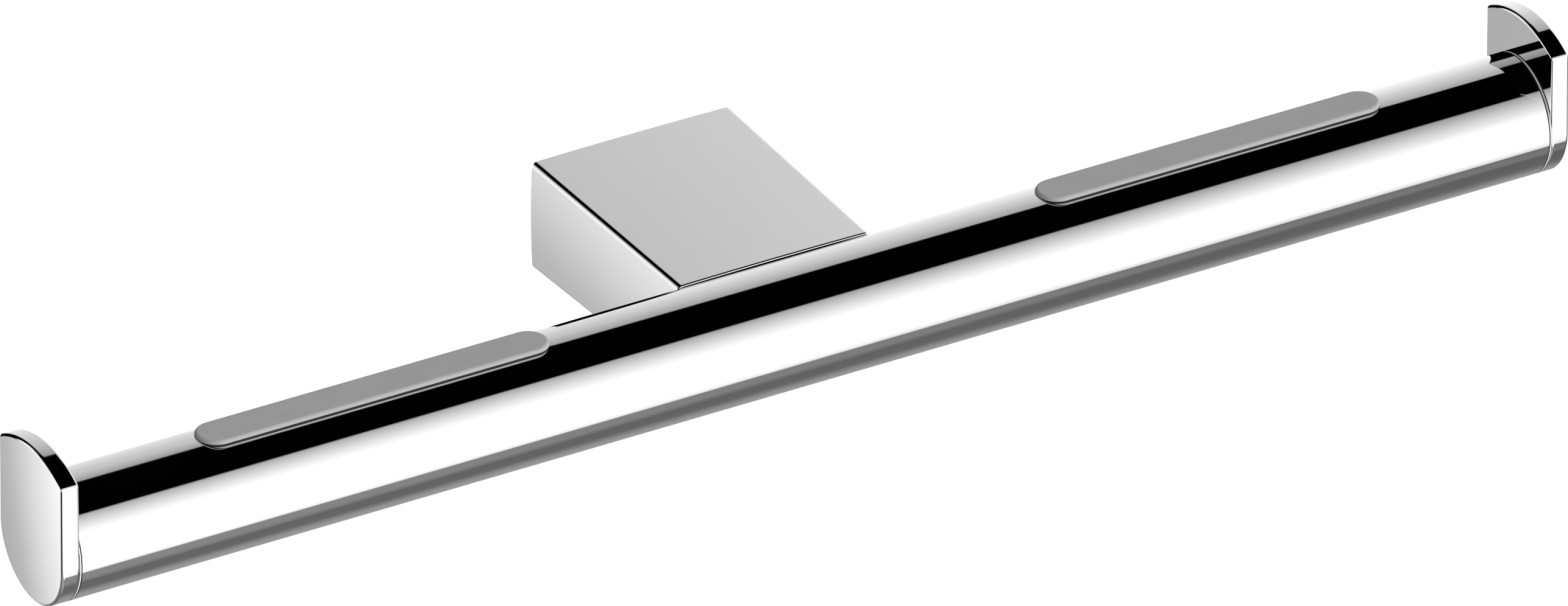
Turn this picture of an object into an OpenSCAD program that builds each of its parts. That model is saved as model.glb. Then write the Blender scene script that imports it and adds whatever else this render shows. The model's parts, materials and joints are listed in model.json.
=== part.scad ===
// Double toilet roll holder: a chromed bar on one wall arm. An end plate closes each end of the bar and
// stands above it, so a roll can't slide off, and a soft pad under each roll brakes it.
// Millimetres, +Z up, +X along the bar. The wall is the plane y = 0 and the room is at -Y.
// The origin is the middle of the wall bracket, on the wall.

/* [Bar] */
// Outer diameter of the tube
bar_d = 28; // [26:0.5:30]
// Wall of the tube
bar_wall = 1.5; // [1:0.1:2]
// Length of the tube, from one end plate to the other
bar_len = 369.5; // [349.5:1:409.5]
// Distance from the wall to the axis of the bar
reach = 70.5; // [64.5:0.5:80.5]
// Height of the bar's axis above the middle of the arm
bar_rise = 0.6; // [0:0.1:1.2]
// Chamfer round each end of the tube
bar_chamfer = 0.35; // [0.15:0.05:0.5]

/* [End plates] */
// Thickness of a plate
plate_t = 4.7; // [4:0.1:5.5]
// Height of a plate above the crown of the tube
plate_lip = 10.3; // [8.3:0.5:11.3]
// Radius of the arched top of a plate
plate_top_r = 26.5; // [22.5:0.5:32.5]
// Radius of the two upper corners, seen from the end
plate_corner_r = 1.25; // [0.75:0.05:2]
// Rounding of the rim, on both faces
plate_edge_r = 0.7; // [0.4:0.1:1]
// Radius of the slight dome of the outer face
plate_dome_r = 500; // [300:50:900]

/* [End plugs] */
// Length of the plug inside the tube
plug_len = 16; // [14:0.5:20]
// Radial clearance between plug and tube
plug_clear = 0.1; // [0.05:0.01:0.15]
// Depth of the screw heads' counterbores, from the plug's inner end
plug_bore_depth = 8; // [6.5:0.5:9]
// Distance between the two screws that hold a plate on its plug
plate_screw_pitch = 12; // [11:0.5:13]
// Depth to which those screws enter the plate
plate_screw_bite = 2.5; // [1.8:0.1:2.8]
// Thickness of a sealing ring's section
ring_d = 2; // [1.6:0.1:2.2]
// Distance from the plate to the first ring's middle, and from one ring to the next
ring_pitch = 5; // [4:0.5:6]

/* [Grip pads] */
// Length of the pad that shows
pad_len = 86.3; // [70.3:1:100.3]
// Width of the pad that shows
pad_w = 9.7; // [7.7:0.5:10.7]
// Height of the pad above the crown of the tube
pad_proud = 0.8; // [0.5:0.1:1.5]
// Rounding of the pad's upper edge
pad_edge_r = 0.84; // [0.4:0.02:1.2]
// Width of the flange that holds the pad inside the tube
pad_flange = 2; // [1:0.1:2.4]
// Height of the pad's underside above the axis of the bar
pad_seat_z = 8.2; // [7.4:0.1:8.6]
// Clearance all round between pad and slot
pad_clear = 0.1; // [0.05:0.01:0.2]

/* [Pad carriers] */
// Length by which a carrier reaches past the pad's flange at each end
carrier_over = 5; // [2:0.5:8]
// Thickness of the carrier's deck and legs
carrier_wall = 1.8; // [1.4:0.1:2.2]
// Distance between the middles of the two legs
carrier_legs = 11; // [9:0.5:13]
// Width of the key that holds the pad in line
key_w = 2.4; // [1.8:0.1:3]
// Height of the key
key_h = 1.2; // [0.8:0.1:1.6]
// Cross webs along one carrier
carrier_webs = 6; // [4:1:8]

/* [Arm] */
// Width of the arm at the wall, from corner to corner
arm_w = 50.4; // [48.4:0.5:56.4]
// Height of the arm at the wall, from corner to corner
arm_h = 26.2; // [25.2:0.2:27.2]
// Draft of the two sides, in degrees
side_draft = 0.96; // [0.5:0.02:1.5]
// Draft of the top, in degrees
top_draft = 0.7; // [0.4:0.02:1.2]
// Draft of the underside, in degrees
bottom_draft = 1.26; // [0.8:0.02:1.6]
// Rise of each face's crown above its corners
arm_crown = 0.3; // [0.1:0.05:0.5]
// Rounding of the two long upper edges
arm_top_r = 1.8; // [1.2:0.1:2.4]
// Rounding of the two long lower edges
arm_bottom_r = 0.8; // [0.5:0.1:1.4]
// Rounding round the front face
arm_front_r = 0.4; // [0.2:0.05:0.7]
// Height of the front face that shows above the tube
arm_lip = 0.5; // [0.45:0.05:1.2]
// Wall of the hollow casting
arm_wall = 2.6; // [2:0.1:3]
// Metal behind the saddle that the tube sits in
saddle_wall = 4; // [3:0.5:6]
// Radial clearance between saddle and tube
saddle_clear = 0.1; // [0.05:0.01:0.2]

/* [Clamp] */
// Distance between the two clamp screws
clamp_pitch = 24; // [20:1:30]
// Thread diameter of the clamp screws
clamp_screw_d = 5; // [4:0.5:5]
// Length of the block inside the tube
clamp_len = 42; // [40:1:48]
// Height of the block
clamp_h = 16; // [12:1:18]
// Distance from the axis of the bar to the block's flat face
clamp_flat = 3.5; // [2:0.5:5]
// Thickness of the lock washers
washer_t = 1.2; // [0.8:0.1:1.6]

/* [Wall bracket] */
// Width of the bracket's base
bracket_w = 34; // [32:1:38]
// Thickness of the base
bracket_t = 4; // [3:0.5:5]
// Distance between the two wall screws
wall_screw_pitch = 22; // [21:0.5:24]
// Diameter of the holes for the wall screws
wall_hole_d = 5.2; // [4.2:0.2:5.4]
// Width of the tongue
tongue_w = 10; // [8:0.5:10.5]
// Height of the tongue
tongue_h = 11; // [9:0.5:12]
// Distance that the tongue stands out from the wall
tongue_len = 18; // [16:0.5:22]
// Distance from the wall to the locking screw
lock_y = 11; // [10:0.5:12]
// Thread diameter of the locking screw
lock_d = 5; // [4:0.5:5]
// Clearance between bracket and arm
bracket_clear = 0.25; // [0.15:0.05:0.3]

/* [Fits] */
// Radial clearance of a screw in its thread
thread_clear = 0.05; // [0.03:0.01:0.1]
// Radial clearance of a screw in a plain hole
hole_clear = 0.25; // [0.15:0.05:0.35]

/* [Hidden] */
$fn = 96;

CHROME = "#d5d7d9";
BRASS = "#c2a25a";
ZINC = "#a9adb1";
STEEL = "#b9bcc0";
SOFT = "#919191";
PLASTIC = "#4b4d50";
RUBBER = "#262728";

// More than the thickness of what a cutter has to pass through, so that no skin is left
past = 1;

bar_r = bar_d / 2;
bore_r = bar_r - bar_wall;
bar_end = bar_len / 2;

// End plates: middle of the top arc, and middles of the two corner arcs, in the plate's own y and z
top_c = bar_r + plate_lip - plate_top_r;
corner_y = bar_r - plate_corner_r;
corner_z = top_c + sqrt(pow(plate_top_r - plate_corner_r, 2) - corner_y * corner_y);
plate_middle = plate_lip / 2;

// End plugs
plug_r = bore_r - plug_clear;
plug_lead = 1;
ring_squeeze = 0.93;
ring_in_r = bore_r - ring_d * ring_squeeze;
ring_groove_w = ring_d * 1.2;
ring_gap = 0.05;
plate_screw_r = 1.5;
plate_head_r = 2.75;
plate_head_h = 3;
plate_grip = plug_len - plug_bore_depth;

// Grip pads: each lies in the middle of its bay, between the arm and the end plate
pad_x = (bar_end + arm_w / 2) / 2;
pad_r = pad_w / 2;
pad_top_z = bar_r + pad_proud;
key_clear = 0.1;
key_len = pad_len - 2 * pad_w;
carrier_len = pad_len + 2 * (pad_flange + carrier_over);
carrier_gap = 0.2;
deck_z = pad_seat_z - carrier_wall / 2;
web_drop = bar_r / 3;

// Arm: its front face cuts the tube where the lip starts
axis_to_top = arm_h / 2 - (reach - bar_r) * tan(top_draft) - bar_rise;
arm_front = sqrt(bar_r * bar_r - pow(axis_to_top - arm_lip, 2));
arm_len = reach - arm_front;
cavity_len = reach - bar_r - saddle_wall;
cavity_r = 1;

// Screws: room past the tip in a blind hole, and the hexagon socket's radius and floor in the head
screw_end_gap = 0.3;
socket_share = 0.55;
socket_floor = 0.45;
screw_tip_share = 0.2;

// Clamp: the screws come from inside the arm, through the saddle and the tube, into the block.
// The washers lie on a low boss round each hole.
clamp_boss_h = 1.5;
clamp_seat = cavity_len - clamp_boss_h;
clamp_screw_r = clamp_screw_d / 2;
clamp_head_share = 0.85;
clamp_head_r = clamp_screw_d * clamp_head_share;
clamp_block_r = bore_r - saddle_clear;
clamp_tip = reach - clamp_flat - past;
washer_r = clamp_head_r + 0.4;
clamp_boss_r = washer_r + 1;

// Wall bracket and its locking screw
bracket_h = arm_h - 2 * (arm_wall + bracket_clear + bracket_t * tan(bottom_draft));
bracket_corner_r = 2;
tongue_lead = 1;
wall_hole_r = wall_hole_d / 2;
wall_head_share = 1.8;
wall_head_r = wall_hole_r * wall_head_share;
lock_r = lock_d / 2;
lock_boss_r = lock_r + 2.2;
lock_sunk = 0.4;
lock_head_z = -arm_h / 2 + lock_y * tan(bottom_draft) + lock_sunk;
lock_cone = lock_r - 0.6;
lock_chamfer = 0.4;
lock_socket_r = lock_r * 0.58;
notch_clear = 0.1;
notch_r = lock_r + 2 * notch_clear;
guide_t = 2;
guide_len = tongue_len + 4;

// Places

// The bar's own frame: its axis is the x axis
module on_bar() {
    translate([0, -reach, bar_rise]) children();
}

// The right end of the bar, or the left one as its mirror image
module at_end(side) {
    on_bar() mirror([side < 0 ? 1 : 0, 0, 0]) translate([bar_end, 0, 0]) children();
}

// The middle of a pad, on the bar's axis
module at_pad(side) {
    on_bar() translate([side * pad_x, 0, 0]) children();
}

// A drawing of y to the right and z up becomes a solid of length len along x, centred
module extrude_x(len) {
    rotate([90, 0, 90]) translate([0, 0, -len / 2]) linear_extrude(height = len) children();
}

// A round rod along x, centred
module rod_x(r, len) {
    rotate([0, 90, 0]) cylinder(r = r, h = len, center = true);
}

// A round rod from y0 out to y1, both distances from the wall
module rod_y(r, y0, y1) {
    translate([0, -y0, 0]) rotate([90, 0, 0]) cylinder(r = r, h = y1 - y0);
}

// The two places of a pair of screws
module pair_x(pitch) {
    for (s = [-1, 1]) translate([s * pitch / 2, 0, 0]) children();
}

module pair_y(pitch) {
    for (s = [-1, 1]) translate([0, s * pitch / 2, 0]) children();
}

// Outlines

module stadium(len, w) {
    union() {
        square([len - w, w], center = true);
        for (s = [-1, 1]) translate([s * (len - w) / 2, 0]) circle(r = w / 2);
    }
}

module rounded_square(w, h, r) {
    union() {
        square([w - 2 * r, h], center = true);
        square([w, h - 2 * r], center = true);
        for (x = [-1, 1], y = [-1, 1])
            translate([x * (w / 2 - r), y * (h / 2 - r)]) circle(r = r);
    }
}

// The right half of a rounded square, to be turned into a disc with a rounded rim
module disc_section(r, h, rim) {
    intersection() {
        rounded_square(2 * r, h, rim);
        translate([0, -h]) square([r + past, 2 * h]);
    }
}

// Bar

module bar_tube() {
    color(CHROME)
    difference() {
        on_bar() rotate([0, 90, 0]) rotate_extrude() bar_half_section();
        for (side = [-1, 1]) at_pad(side) translate([0, 0, pad_seat_z / 2])
            linear_extrude(height = bar_d) stadium(pad_len + 2 * pad_clear, pad_w + 2 * pad_clear);
        translate([0, 0, bar_rise]) pair_x(clamp_pitch)
            rod_y(clamp_screw_r + hole_clear, reach - bar_r - past, reach);
    }
}

// Half of the tube cut lengthways: the radius to the right, the length up
module bar_half_section() {
    c = bar_chamfer;
    polygon([
        [bore_r, -bar_end], [bar_r - c, -bar_end], [bar_r, -bar_end + c],
        [bar_r, bar_end - c], [bar_r - c, bar_end], [bore_r, bar_end]
    ]);
}

// End plates: round below like the tube, straight at the sides, arched on top

module plate_outline() {
    wedge = 2;
    union() {
        circle(r = bar_r);
        translate([-bar_r, 0]) square([bar_d, corner_z]);
        for (s = [-1, 1]) translate([s * corner_y, corner_z]) circle(r = plate_corner_r);
        intersection() {
            translate([0, top_c]) circle(r = plate_top_r);
            polygon([
                [0, top_c],
                [wedge * corner_y, top_c + wedge * (corner_z - top_c)],
                [-wedge * corner_y, top_c + wedge * (corner_z - top_c)]
            ]);
        }
    }
}

// A disc round the x axis with a rounded rim; from is 180 for the lower half and 0 for all of it
module plate_disc(r, from) {
    rotate([90, 0, 90]) rotate([0, 0, from])
        rotate_extrude(angle = 360 - from) disc_section(r, plate_t, plate_edge_r);
}

// A wide lens, flat at the back, whose front face is domed
module plate_dome() {
    rotate([90, 0, 90]) translate([0, 0, plate_t / 2 - plate_dome_r]) rotate_extrude() intersection() {
        circle(r = plate_dome_r, $fn = 1440);
        translate([0, plate_dome_r - plate_t - past]) square([bar_d + plate_lip, plate_t + 2 * past]);
    }
}

module end_plate(side) {
    color(CHROME)
    at_end(side) difference() {
        translate([plate_t / 2, 0, 0]) intersection() {
            union() {
                plate_disc(bar_r, 180);
                rotate([0, 0, 90]) linear_extrude(height = bar_d)
                    rounded_square(bar_d, plate_t, plate_edge_r);
            }
            translate([0, 0, top_c]) plate_disc(plate_top_r, 0);
            extrude_x(plate_t) plate_outline();
            translate([0, 0, plate_middle]) plate_dome();
        }
        pair_y(plate_screw_pitch)
            rod_x(plate_screw_r + thread_clear, 2 * (plate_screw_bite + screw_end_gap));
    }
}

module left_end_plate() { end_plate(-1); }
module right_end_plate() { end_plate(1); }

// End plugs: pushed into the tube, with two rubber rings and two screws from inside into the plate

module end_plug(side) {
    color(BRASS)
    at_end(side) difference() {
        rotate([0, -90, 0]) rotate_extrude() plug_section();
        pair_y(plate_screw_pitch) {
            rod_x(plate_screw_r + hole_clear, 2 * (plug_len + past));
            translate([-plug_len, 0, 0]) rod_x(plate_head_r + hole_clear, 2 * plug_bore_depth);
        }
    }
}

// The radius to the right, the depth into the tube up, with two grooves and a chamfered inner end
module plug_section() {
    difference() {
        polygon([
            [0, 0], [plug_r, 0], [plug_r, plug_len - plug_lead], [plug_r - plug_lead, plug_len], [0, plug_len]
        ]);
        for (i = [1, 2])
            translate([ring_in_r, i * ring_pitch - ring_groove_w / 2]) square([ring_d, ring_groove_w]);
    }
}

// A ring is a round cord, squeezed flat between the groove and the tube
module plug_rings(side) {
    low = ring_in_r + ring_gap;
    high = bore_r - ring_gap;
    color(RUBBER)
    at_end(side) for (i = [1, 2]) translate([-i * ring_pitch, 0, 0]) rotate([0, -90, 0])
        rotate_extrude() intersection() {
            translate([(low + high) / 2, 0]) circle(r = ring_d / 2);
            translate([low, -ring_d]) square([high - low, 2 * ring_d]);
        }
}

module plate_screws(side) {
    color(STEEL)
    at_end(side) pair_y(plate_screw_pitch) translate([plate_screw_bite, 0, 0]) rotate([0, -90, 0])
        cap_screw(plate_screw_r, plate_head_r, plate_head_h, plate_screw_bite + plate_grip);
}

// A socket head screw, tip at the origin and head up
module cap_screw(r, head_r, head_h, len) {
    tip = r * screw_tip_share;
    difference() {
        union() {
            rotate_extrude() polygon([[0, 0], [r - tip, 0], [r, tip], [r, len], [0, len]]);
            translate([0, 0, len]) rotate_extrude() polygon([
                [0, 0], [head_r, 0], [head_r, head_h - tip], [head_r - tip, head_h], [0, head_h]
            ]);
        }
        translate([0, 0, len + head_h * socket_floor])
            cylinder(r = head_r * socket_share, h = head_h, $fn = 6);
    }
}

module left_end_plug() { end_plug(-1); }
module right_end_plug() { end_plug(1); }
module left_plug_rings() { plug_rings(-1); }
module right_plug_rings() { plug_rings(1); }
module left_plate_screws() { plate_screws(-1); }
module right_plate_screws() { plate_screws(1); }

// Grip pads: a soft strip that stands up through the slot, with a flange inside the tube

module grip_pad(side) {
    color(SOFT)
    at_pad(side) difference() {
        union() {
            pad_body();
            intersection() {
                translate([0, 0, pad_seat_z]) linear_extrude(height = bar_r)
                    stadium(pad_len + 2 * pad_flange, pad_w + 2 * pad_flange);
                rod_x(bore_r - carrier_gap, 2 * pad_len);
            }
        }
        translate([0, 0, pad_seat_z]) cube(
            [key_len + 2 * key_clear, key_w + 2 * key_clear, 2 * (key_h + key_clear)], center = true
        );
    }
}

// Straight walls and a flat top with a rounded edge: a middle that runs along x and two turned ends
module pad_body() {
    straight = pad_len - pad_w;
    translate([0, 0, pad_seat_z]) union() {
        extrude_x(straight) pad_section();
        for (s = [-1, 1]) translate([s * straight / 2, 0, 0]) rotate([0, 0, -90 * s])
            rotate_extrude(angle = 180) intersection() {
                pad_section();
                square([pad_r, bar_d]);
            }
    }
}

module pad_section() {
    h = pad_top_z - pad_seat_z;
    union() {
        translate([-pad_r, 0]) square([pad_w, h - pad_edge_r]);
        translate([-pad_r + pad_edge_r, 0]) square([pad_w - 2 * pad_edge_r, h]);
        for (s = [-1, 1]) translate([s * (pad_r - pad_edge_r), h - pad_edge_r]) circle(r = pad_edge_r);
    }
}

module left_grip_pad() { grip_pad(-1); }
module right_grip_pad() { grip_pad(1); }

// Pad carriers: a moulded bridge inside the tube, on two legs, that presses the pad up into its slot

module pad_carrier(side) {
    web_pitch = carrier_len / carrier_webs;
    color(PLASTIC)
    at_pad(side) union() {
        intersection() {
            rod_x(bore_r - carrier_gap, carrier_len);
            union() {
                translate([0, 0, deck_z]) cube([carrier_len, bar_d, carrier_wall], center = true);
                for (s = [-1, 1])
                    translate([-carrier_len / 2, s * carrier_legs / 2 - carrier_wall / 2, -bar_r])
                        cube([carrier_len, carrier_wall, bar_r + deck_z]);
                for (i = [0 : carrier_webs - 1])
                    translate([(i + 0.5) * web_pitch - carrier_len / 2, 0, 0]) carrier_web();
            }
        }
        translate([-key_len / 2, -key_w / 2, deck_z]) cube([key_len, key_w, key_h + carrier_wall / 2]);
    }
}

// A web between the legs, with an arch cut out below
module carrier_web() {
    extrude_x(carrier_wall) difference() {
        translate([-carrier_legs / 2, -web_drop]) square([carrier_legs, web_drop + deck_z]);
        translate([0, -web_drop]) circle(r = carrier_legs / 2 - carrier_wall);
    }
}

module left_pad_carrier() { pad_carrier(-1); }
module right_pad_carrier() { pad_carrier(1); }

// Arm: a hollow zinc casting. Each face has draft and a slight crown, and the front is a saddle

// Radius of a crown that rises k over a corner arc of radius r, whose middle is c from the crown's middle
function crown_r(c, k, r) = r + (c * c + k * k) / (2 * k);

function arc(x, z, r, from, to, n) =
    [for (i = [0 : n - 1]) let (a = from + (to - from) * i / n) [x + r * cos(a), z + r * sin(a)]];

// Outline of the arm: w wide from corner to corner, z0 to z1, corners of radius rb below and rt above,
// and four crowned faces that run smoothly into the corner arcs. It starts at the lower right.
function arm_outline(w, z0, z1, rt, rb, k) =
    let (
        xt = w / 2 - rt, zt = z1 - rt,
        xb = w / 2 - rb, zb = z0 + rb,
        // the side's crown touches an upper arc and a lower arc of another radius
        tall = zt - zb,
        up = (tall * tall - 2 * k * (rt - rb)) / (2 * tall),
        side_r = crown_r(up, k, rt),
        side_z = zt - up,
        side_x = w / 2 + k - side_r,
        top_r = crown_r(xt, k, rt),
        bottom_r = crown_r(xb, k, rb),
        a_up = asin(up / (side_r - rt)),
        a_down = asin((side_z - zb) / (side_r - rb)),
        a_top = asin(xt / (top_r - rt)),
        a_bottom = asin(xb / (bottom_r - rb)),
        half = concat(
            arc(0, z0 - k + bottom_r, bottom_r, -90, -90 + a_bottom, 8),
            arc(xb, zb, rb, -90 + a_bottom, -a_down, 6),
            arc(side_x, side_z, side_r, -a_down, a_up, 8),
            arc(xt, zt, rt, a_up, 90 - a_top, 8),
            arc(0, z1 + k - top_r, top_r, 90 - a_top, 90, 8),
            [[0, z1 + k]]
        ),
        n = len(half)
    )
    concat(half, [for (i = [n - 2 : -1 : 1]) [-half[i].x, half[i].y]]);

// The arm's outline at the distance y from the wall, drawn in by inset
function arm_ring(y, inset, least_r) =
    let (
        w = arm_w - 2 * y * tan(side_draft) - 2 * inset,
        z1 = arm_h / 2 - y * tan(top_draft) - inset,
        z0 = -arm_h / 2 + y * tan(bottom_draft) + inset,
        rt = max(arm_top_r - inset, least_r),
        rb = max(arm_bottom_r - inset, least_r)
    )
    [for (p = arm_outline(w, z0, z1, rt, rb, arm_crown)) [p.x, -y, p.y]];

// Skins a row of rings that have the same number of points, the first nearest the wall
module loft(rings) {
    n = len(rings[0]);
    last = (len(rings) - 1) * n;
    polyhedron(
        points = [for (ring = rings) each ring],
        faces = concat(
            [[for (i = [0 : n - 1]) i]],
            [for (k = [0 : len(rings) - 2], i = [0 : n - 1])
                let (j = (i + 1) % n, a = k * n, b = a + n)
                each [[a + i, b + i, a + j], [a + j, b + i, b + j]]],
            [[for (i = [n - 1 : -1 : 0]) last + i]]
        )
    );
}

module arm_outside() {
    steps = 4;
    r = arm_front_r;
    loft(concat(
        [arm_ring(0, 0, arm_front_r)],
        [for (i = [0 : steps]) let (a = 90 * i / steps)
            arm_ring(arm_len - r + r * sin(a), r * (1 - cos(a)), arm_front_r / 2)]
    ));
}

module arm_cavity() {
    loft([arm_ring(-past, arm_wall, cavity_r), arm_ring(cavity_len, arm_wall, cavity_r)]);
}

// Inside the top, two ribs guide the tongue; below it, a boss carries the locking screw's thread
module arm_inside() {
    rib_top = arm_h / 2 - arm_wall / 2;
    rib_bottom = tongue_h / 4;
    for (s = [-1, 1])
        translate([s * (tongue_w / 2 + bracket_clear + guide_t / 2) - guide_t / 2, -guide_len, rib_bottom])
            cube([guide_t, guide_len - bracket_t - bracket_clear, rib_top - rib_bottom]);
    translate([0, -lock_y, -rib_top])
        cylinder(r = lock_boss_r, h = rib_top - tongue_h / 2 - bracket_clear);
    translate([0, 0, bar_rise]) pair_x(clamp_pitch)
        rod_y(clamp_boss_r, clamp_seat, cavity_len + past);
}

module support_arm() {
    color(CHROME)
    difference() {
        union() {
            difference() {
                arm_outside();
                arm_cavity();
            }
            arm_inside();
        }
        on_bar() rod_x(bar_r + saddle_clear, 2 * arm_w);
        translate([0, 0, bar_rise]) pair_x(clamp_pitch)
            rod_y(clamp_screw_r + hole_clear, cavity_len - saddle_wall, reach);
        translate([0, -lock_y, -arm_h])
            cylinder(r = lock_r + thread_clear, h = arm_h);
    }
}

// Clamp: a block inside the tube, drawn against it by two screws from inside the arm

module clamp_block() {
    color(STEEL)
    difference() {
        on_bar() intersection() {
            rod_x(clamp_block_r, clamp_len);
            translate([-clamp_len, clamp_flat, -clamp_h / 2]) cube([2 * clamp_len, bar_r, clamp_h]);
        }
        translate([0, 0, bar_rise]) pair_x(clamp_pitch)
            rod_y(clamp_screw_r + thread_clear, cavity_len, reach);
    }
}

module clamp_screws() {
    color(STEEL)
    translate([0, -clamp_tip, bar_rise]) pair_x(clamp_pitch) rotate([-90, 0, 0])
        cap_screw(clamp_screw_r, clamp_head_r, clamp_screw_d, clamp_tip - clamp_seat + washer_t);
}

module clamp_washers() {
    color(STEEL)
    translate([0, 0, bar_rise]) pair_x(clamp_pitch) difference() {
        rod_y(washer_r, clamp_seat - washer_t, clamp_seat);
        rod_y(clamp_screw_r + hole_clear, clamp_seat - 2 * washer_t, clamp_seat + washer_t);
    }
}

// Wall bracket: a base with two wall screws, and a tongue that the arm slips over and locks on

module wall_bracket() {
    lead = tongue_lead;
    color(ZINC)
    difference() {
        union() {
            rotate([90, 0, 0]) linear_extrude(height = bracket_t)
                rounded_square(bracket_w, bracket_h, bracket_corner_r);
            translate([-tongue_w / 2, 0, 0]) rotate([90, 0, 90]) linear_extrude(height = tongue_w) polygon([
                [0, -tongue_h / 2], [0, tongue_h / 2], [lead - tongue_len, tongue_h / 2],
                [-tongue_len, tongue_h / 2 - lead], [-tongue_len, lead - tongue_h / 2],
                [lead - tongue_len, -tongue_h / 2]
            ]);
        }
        pair_x(wall_screw_pitch) {
            rod_y(wall_hole_r, -past, bracket_t + past);
            translate([0, -bracket_t, 0]) rotate([-90, 0, 0])
                cylinder(r1 = wall_head_r, r2 = 0, h = wall_head_r);
        }
        translate([0, -lock_y, -tongue_h / 2 - notch_clear]) cylinder(r1 = notch_r, r2 = 0, h = notch_r);
    }
}

// The locking screw comes up from below, and its cone draws the arm against the wall
module lock_screw() {
    c = lock_chamfer;
    cone_z = -tongue_h / 2 - notch_clear;
    color(STEEL)
    translate([0, -lock_y, 0]) difference() {
        rotate_extrude() polygon([
            [0, lock_head_z], [lock_r - c, lock_head_z], [lock_r, lock_head_z + c], [lock_r, cone_z],
            [lock_r - lock_cone, cone_z + lock_cone], [0, cone_z + lock_cone]
        ]);
        translate([0, 0, lock_head_z - past]) cylinder(r = lock_socket_r, h = lock_r + past, $fn = 6);
    }
}

bar_tube();
left_end_plate();
right_end_plate();
left_end_plug();
right_end_plug();
left_plug_rings();
right_plug_rings();
left_plate_screws();
right_plate_screws();
left_grip_pad();
right_grip_pad();
left_pad_carrier();
right_pad_carrier();
support_arm();
clamp_block();
clamp_screws();
clamp_washers();
wall_bracket();
lock_screw();
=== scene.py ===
# %% [markdown]
# # A chromed holder for two toilet rolls
#
# The holder is a mirror-bright tube on one block-shaped arm. A raised plate closes each end, and a soft
# grey pad stands up through a slot in each half of the tube and brakes the roll above it.
# The construction comes ready as a frame of exact parts. This notebook gives every part its look:
# fine, smooth meshes where a mirror would show the frame's flat facets, and a procedural material on all.
# Nothing here moves or resizes the frame.

# %% Load the frame
import json
import math

import bmesh
import bpy
from mathutils import Matrix, Vector

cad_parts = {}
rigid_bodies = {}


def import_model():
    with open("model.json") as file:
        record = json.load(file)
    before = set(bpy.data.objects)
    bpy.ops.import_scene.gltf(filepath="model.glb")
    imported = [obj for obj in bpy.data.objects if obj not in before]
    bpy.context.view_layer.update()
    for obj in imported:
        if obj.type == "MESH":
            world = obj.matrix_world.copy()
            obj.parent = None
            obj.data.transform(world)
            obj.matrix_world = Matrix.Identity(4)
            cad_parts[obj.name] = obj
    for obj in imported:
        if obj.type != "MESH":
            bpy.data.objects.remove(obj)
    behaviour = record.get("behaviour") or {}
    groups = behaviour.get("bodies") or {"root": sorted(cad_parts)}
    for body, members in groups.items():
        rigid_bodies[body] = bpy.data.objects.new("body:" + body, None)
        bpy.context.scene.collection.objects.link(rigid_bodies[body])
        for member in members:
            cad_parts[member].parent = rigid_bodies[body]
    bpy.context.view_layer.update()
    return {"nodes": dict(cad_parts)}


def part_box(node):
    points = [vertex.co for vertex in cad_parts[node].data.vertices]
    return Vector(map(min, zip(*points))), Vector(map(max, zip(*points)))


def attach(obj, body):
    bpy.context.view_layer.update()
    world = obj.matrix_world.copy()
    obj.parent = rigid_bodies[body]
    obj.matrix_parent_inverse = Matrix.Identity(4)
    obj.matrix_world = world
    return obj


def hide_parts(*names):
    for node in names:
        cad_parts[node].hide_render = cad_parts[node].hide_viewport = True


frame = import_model()
nodes = frame["nodes"]
print("parts in the frame:", ", ".join(sorted(nodes)))

# %% [markdown]
# ## Sizes
#
# Only what a box can't tell, such as a corner's radius, is written here as a number. The tube's axis
# is the line that most things are measured from.

# %% Sizes from the frame
MM = 0.001
SIDES = {"left": -1, "right": 1}

tube_low, tube_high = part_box("bar_tube")
TUBE_R = (tube_high.y - tube_low.y) / 2
TUBE_END = tube_high.x
TUBE_WALL = 1.5 * MM
AXIS = Vector((0, (tube_low.y + tube_high.y) / 2, (tube_low.z + tube_high.z) / 2))
BORE_R = TUBE_R - TUBE_WALL
print(f"tube: {2 * TUBE_R / MM:.1f} mm across, {2 * TUBE_END / MM:.1f} mm long")
print(f"its axis is {-AXIS.y / MM:.1f} mm from the wall")

# %% [markdown]
# ## Small tools for meshes
#
# Every outline on this holder is a chain of arcs and straight lines: a tube is a circle, a plate is four
# arcs, and even the arm's flat-looking faces are shallow arcs. The bmesh operator spin turns a vertex
# about a centre and leaves an arc behind it, and extrude_vert_indiv pulls a straight line out of it.
# With mirror that is all the drawing needed.

# %% Drawing with a vertex
X_AXIS = Vector((1, 0, 0))
Y_AXIS = Vector((0, 1, 0))
Z_AXIS = Vector((0, 0, 1))
SEAM = MM / 1000


def draw_arc(bm, tip, centre, axis, degrees, steps):
    """Turns the vertex tip about centre, and returns the vertex at the arc's far end."""
    turned = bmesh.ops.spin(
        bm, geom=[tip], cent=centre, axis=axis, angle=math.radians(degrees), steps=steps
    )
    return next(g for g in turned["geom_last"] if isinstance(g, bmesh.types.BMVert))


def draw_line(bm, tip, end):
    """Pulls a straight edge out of the vertex tip, and returns its far vertex."""
    new = bmesh.ops.extrude_vert_indiv(bm, verts=[tip])["verts"][0]
    new.co = end
    return new


def close_by_mirror(bm, axis):
    """Mirrors a half outline across the plane through the origin, and returns the closed loop's edges."""
    bmesh.ops.mirror(bm, geom=bm.verts[:] + bm.edges[:], matrix=Matrix(), merge_dist=SEAM, axis=axis)
    bmesh.ops.remove_doubles(bm, verts=bm.verts[:], dist=SEAM)
    return bm.edges[:]


# %% [markdown]
# A closed loop becomes a body by extruding its edges again and again. After each extrusion the new loop
# is moved and scaled, so one small function makes prisms, tapers and domes. A face closes the last loop.

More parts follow.
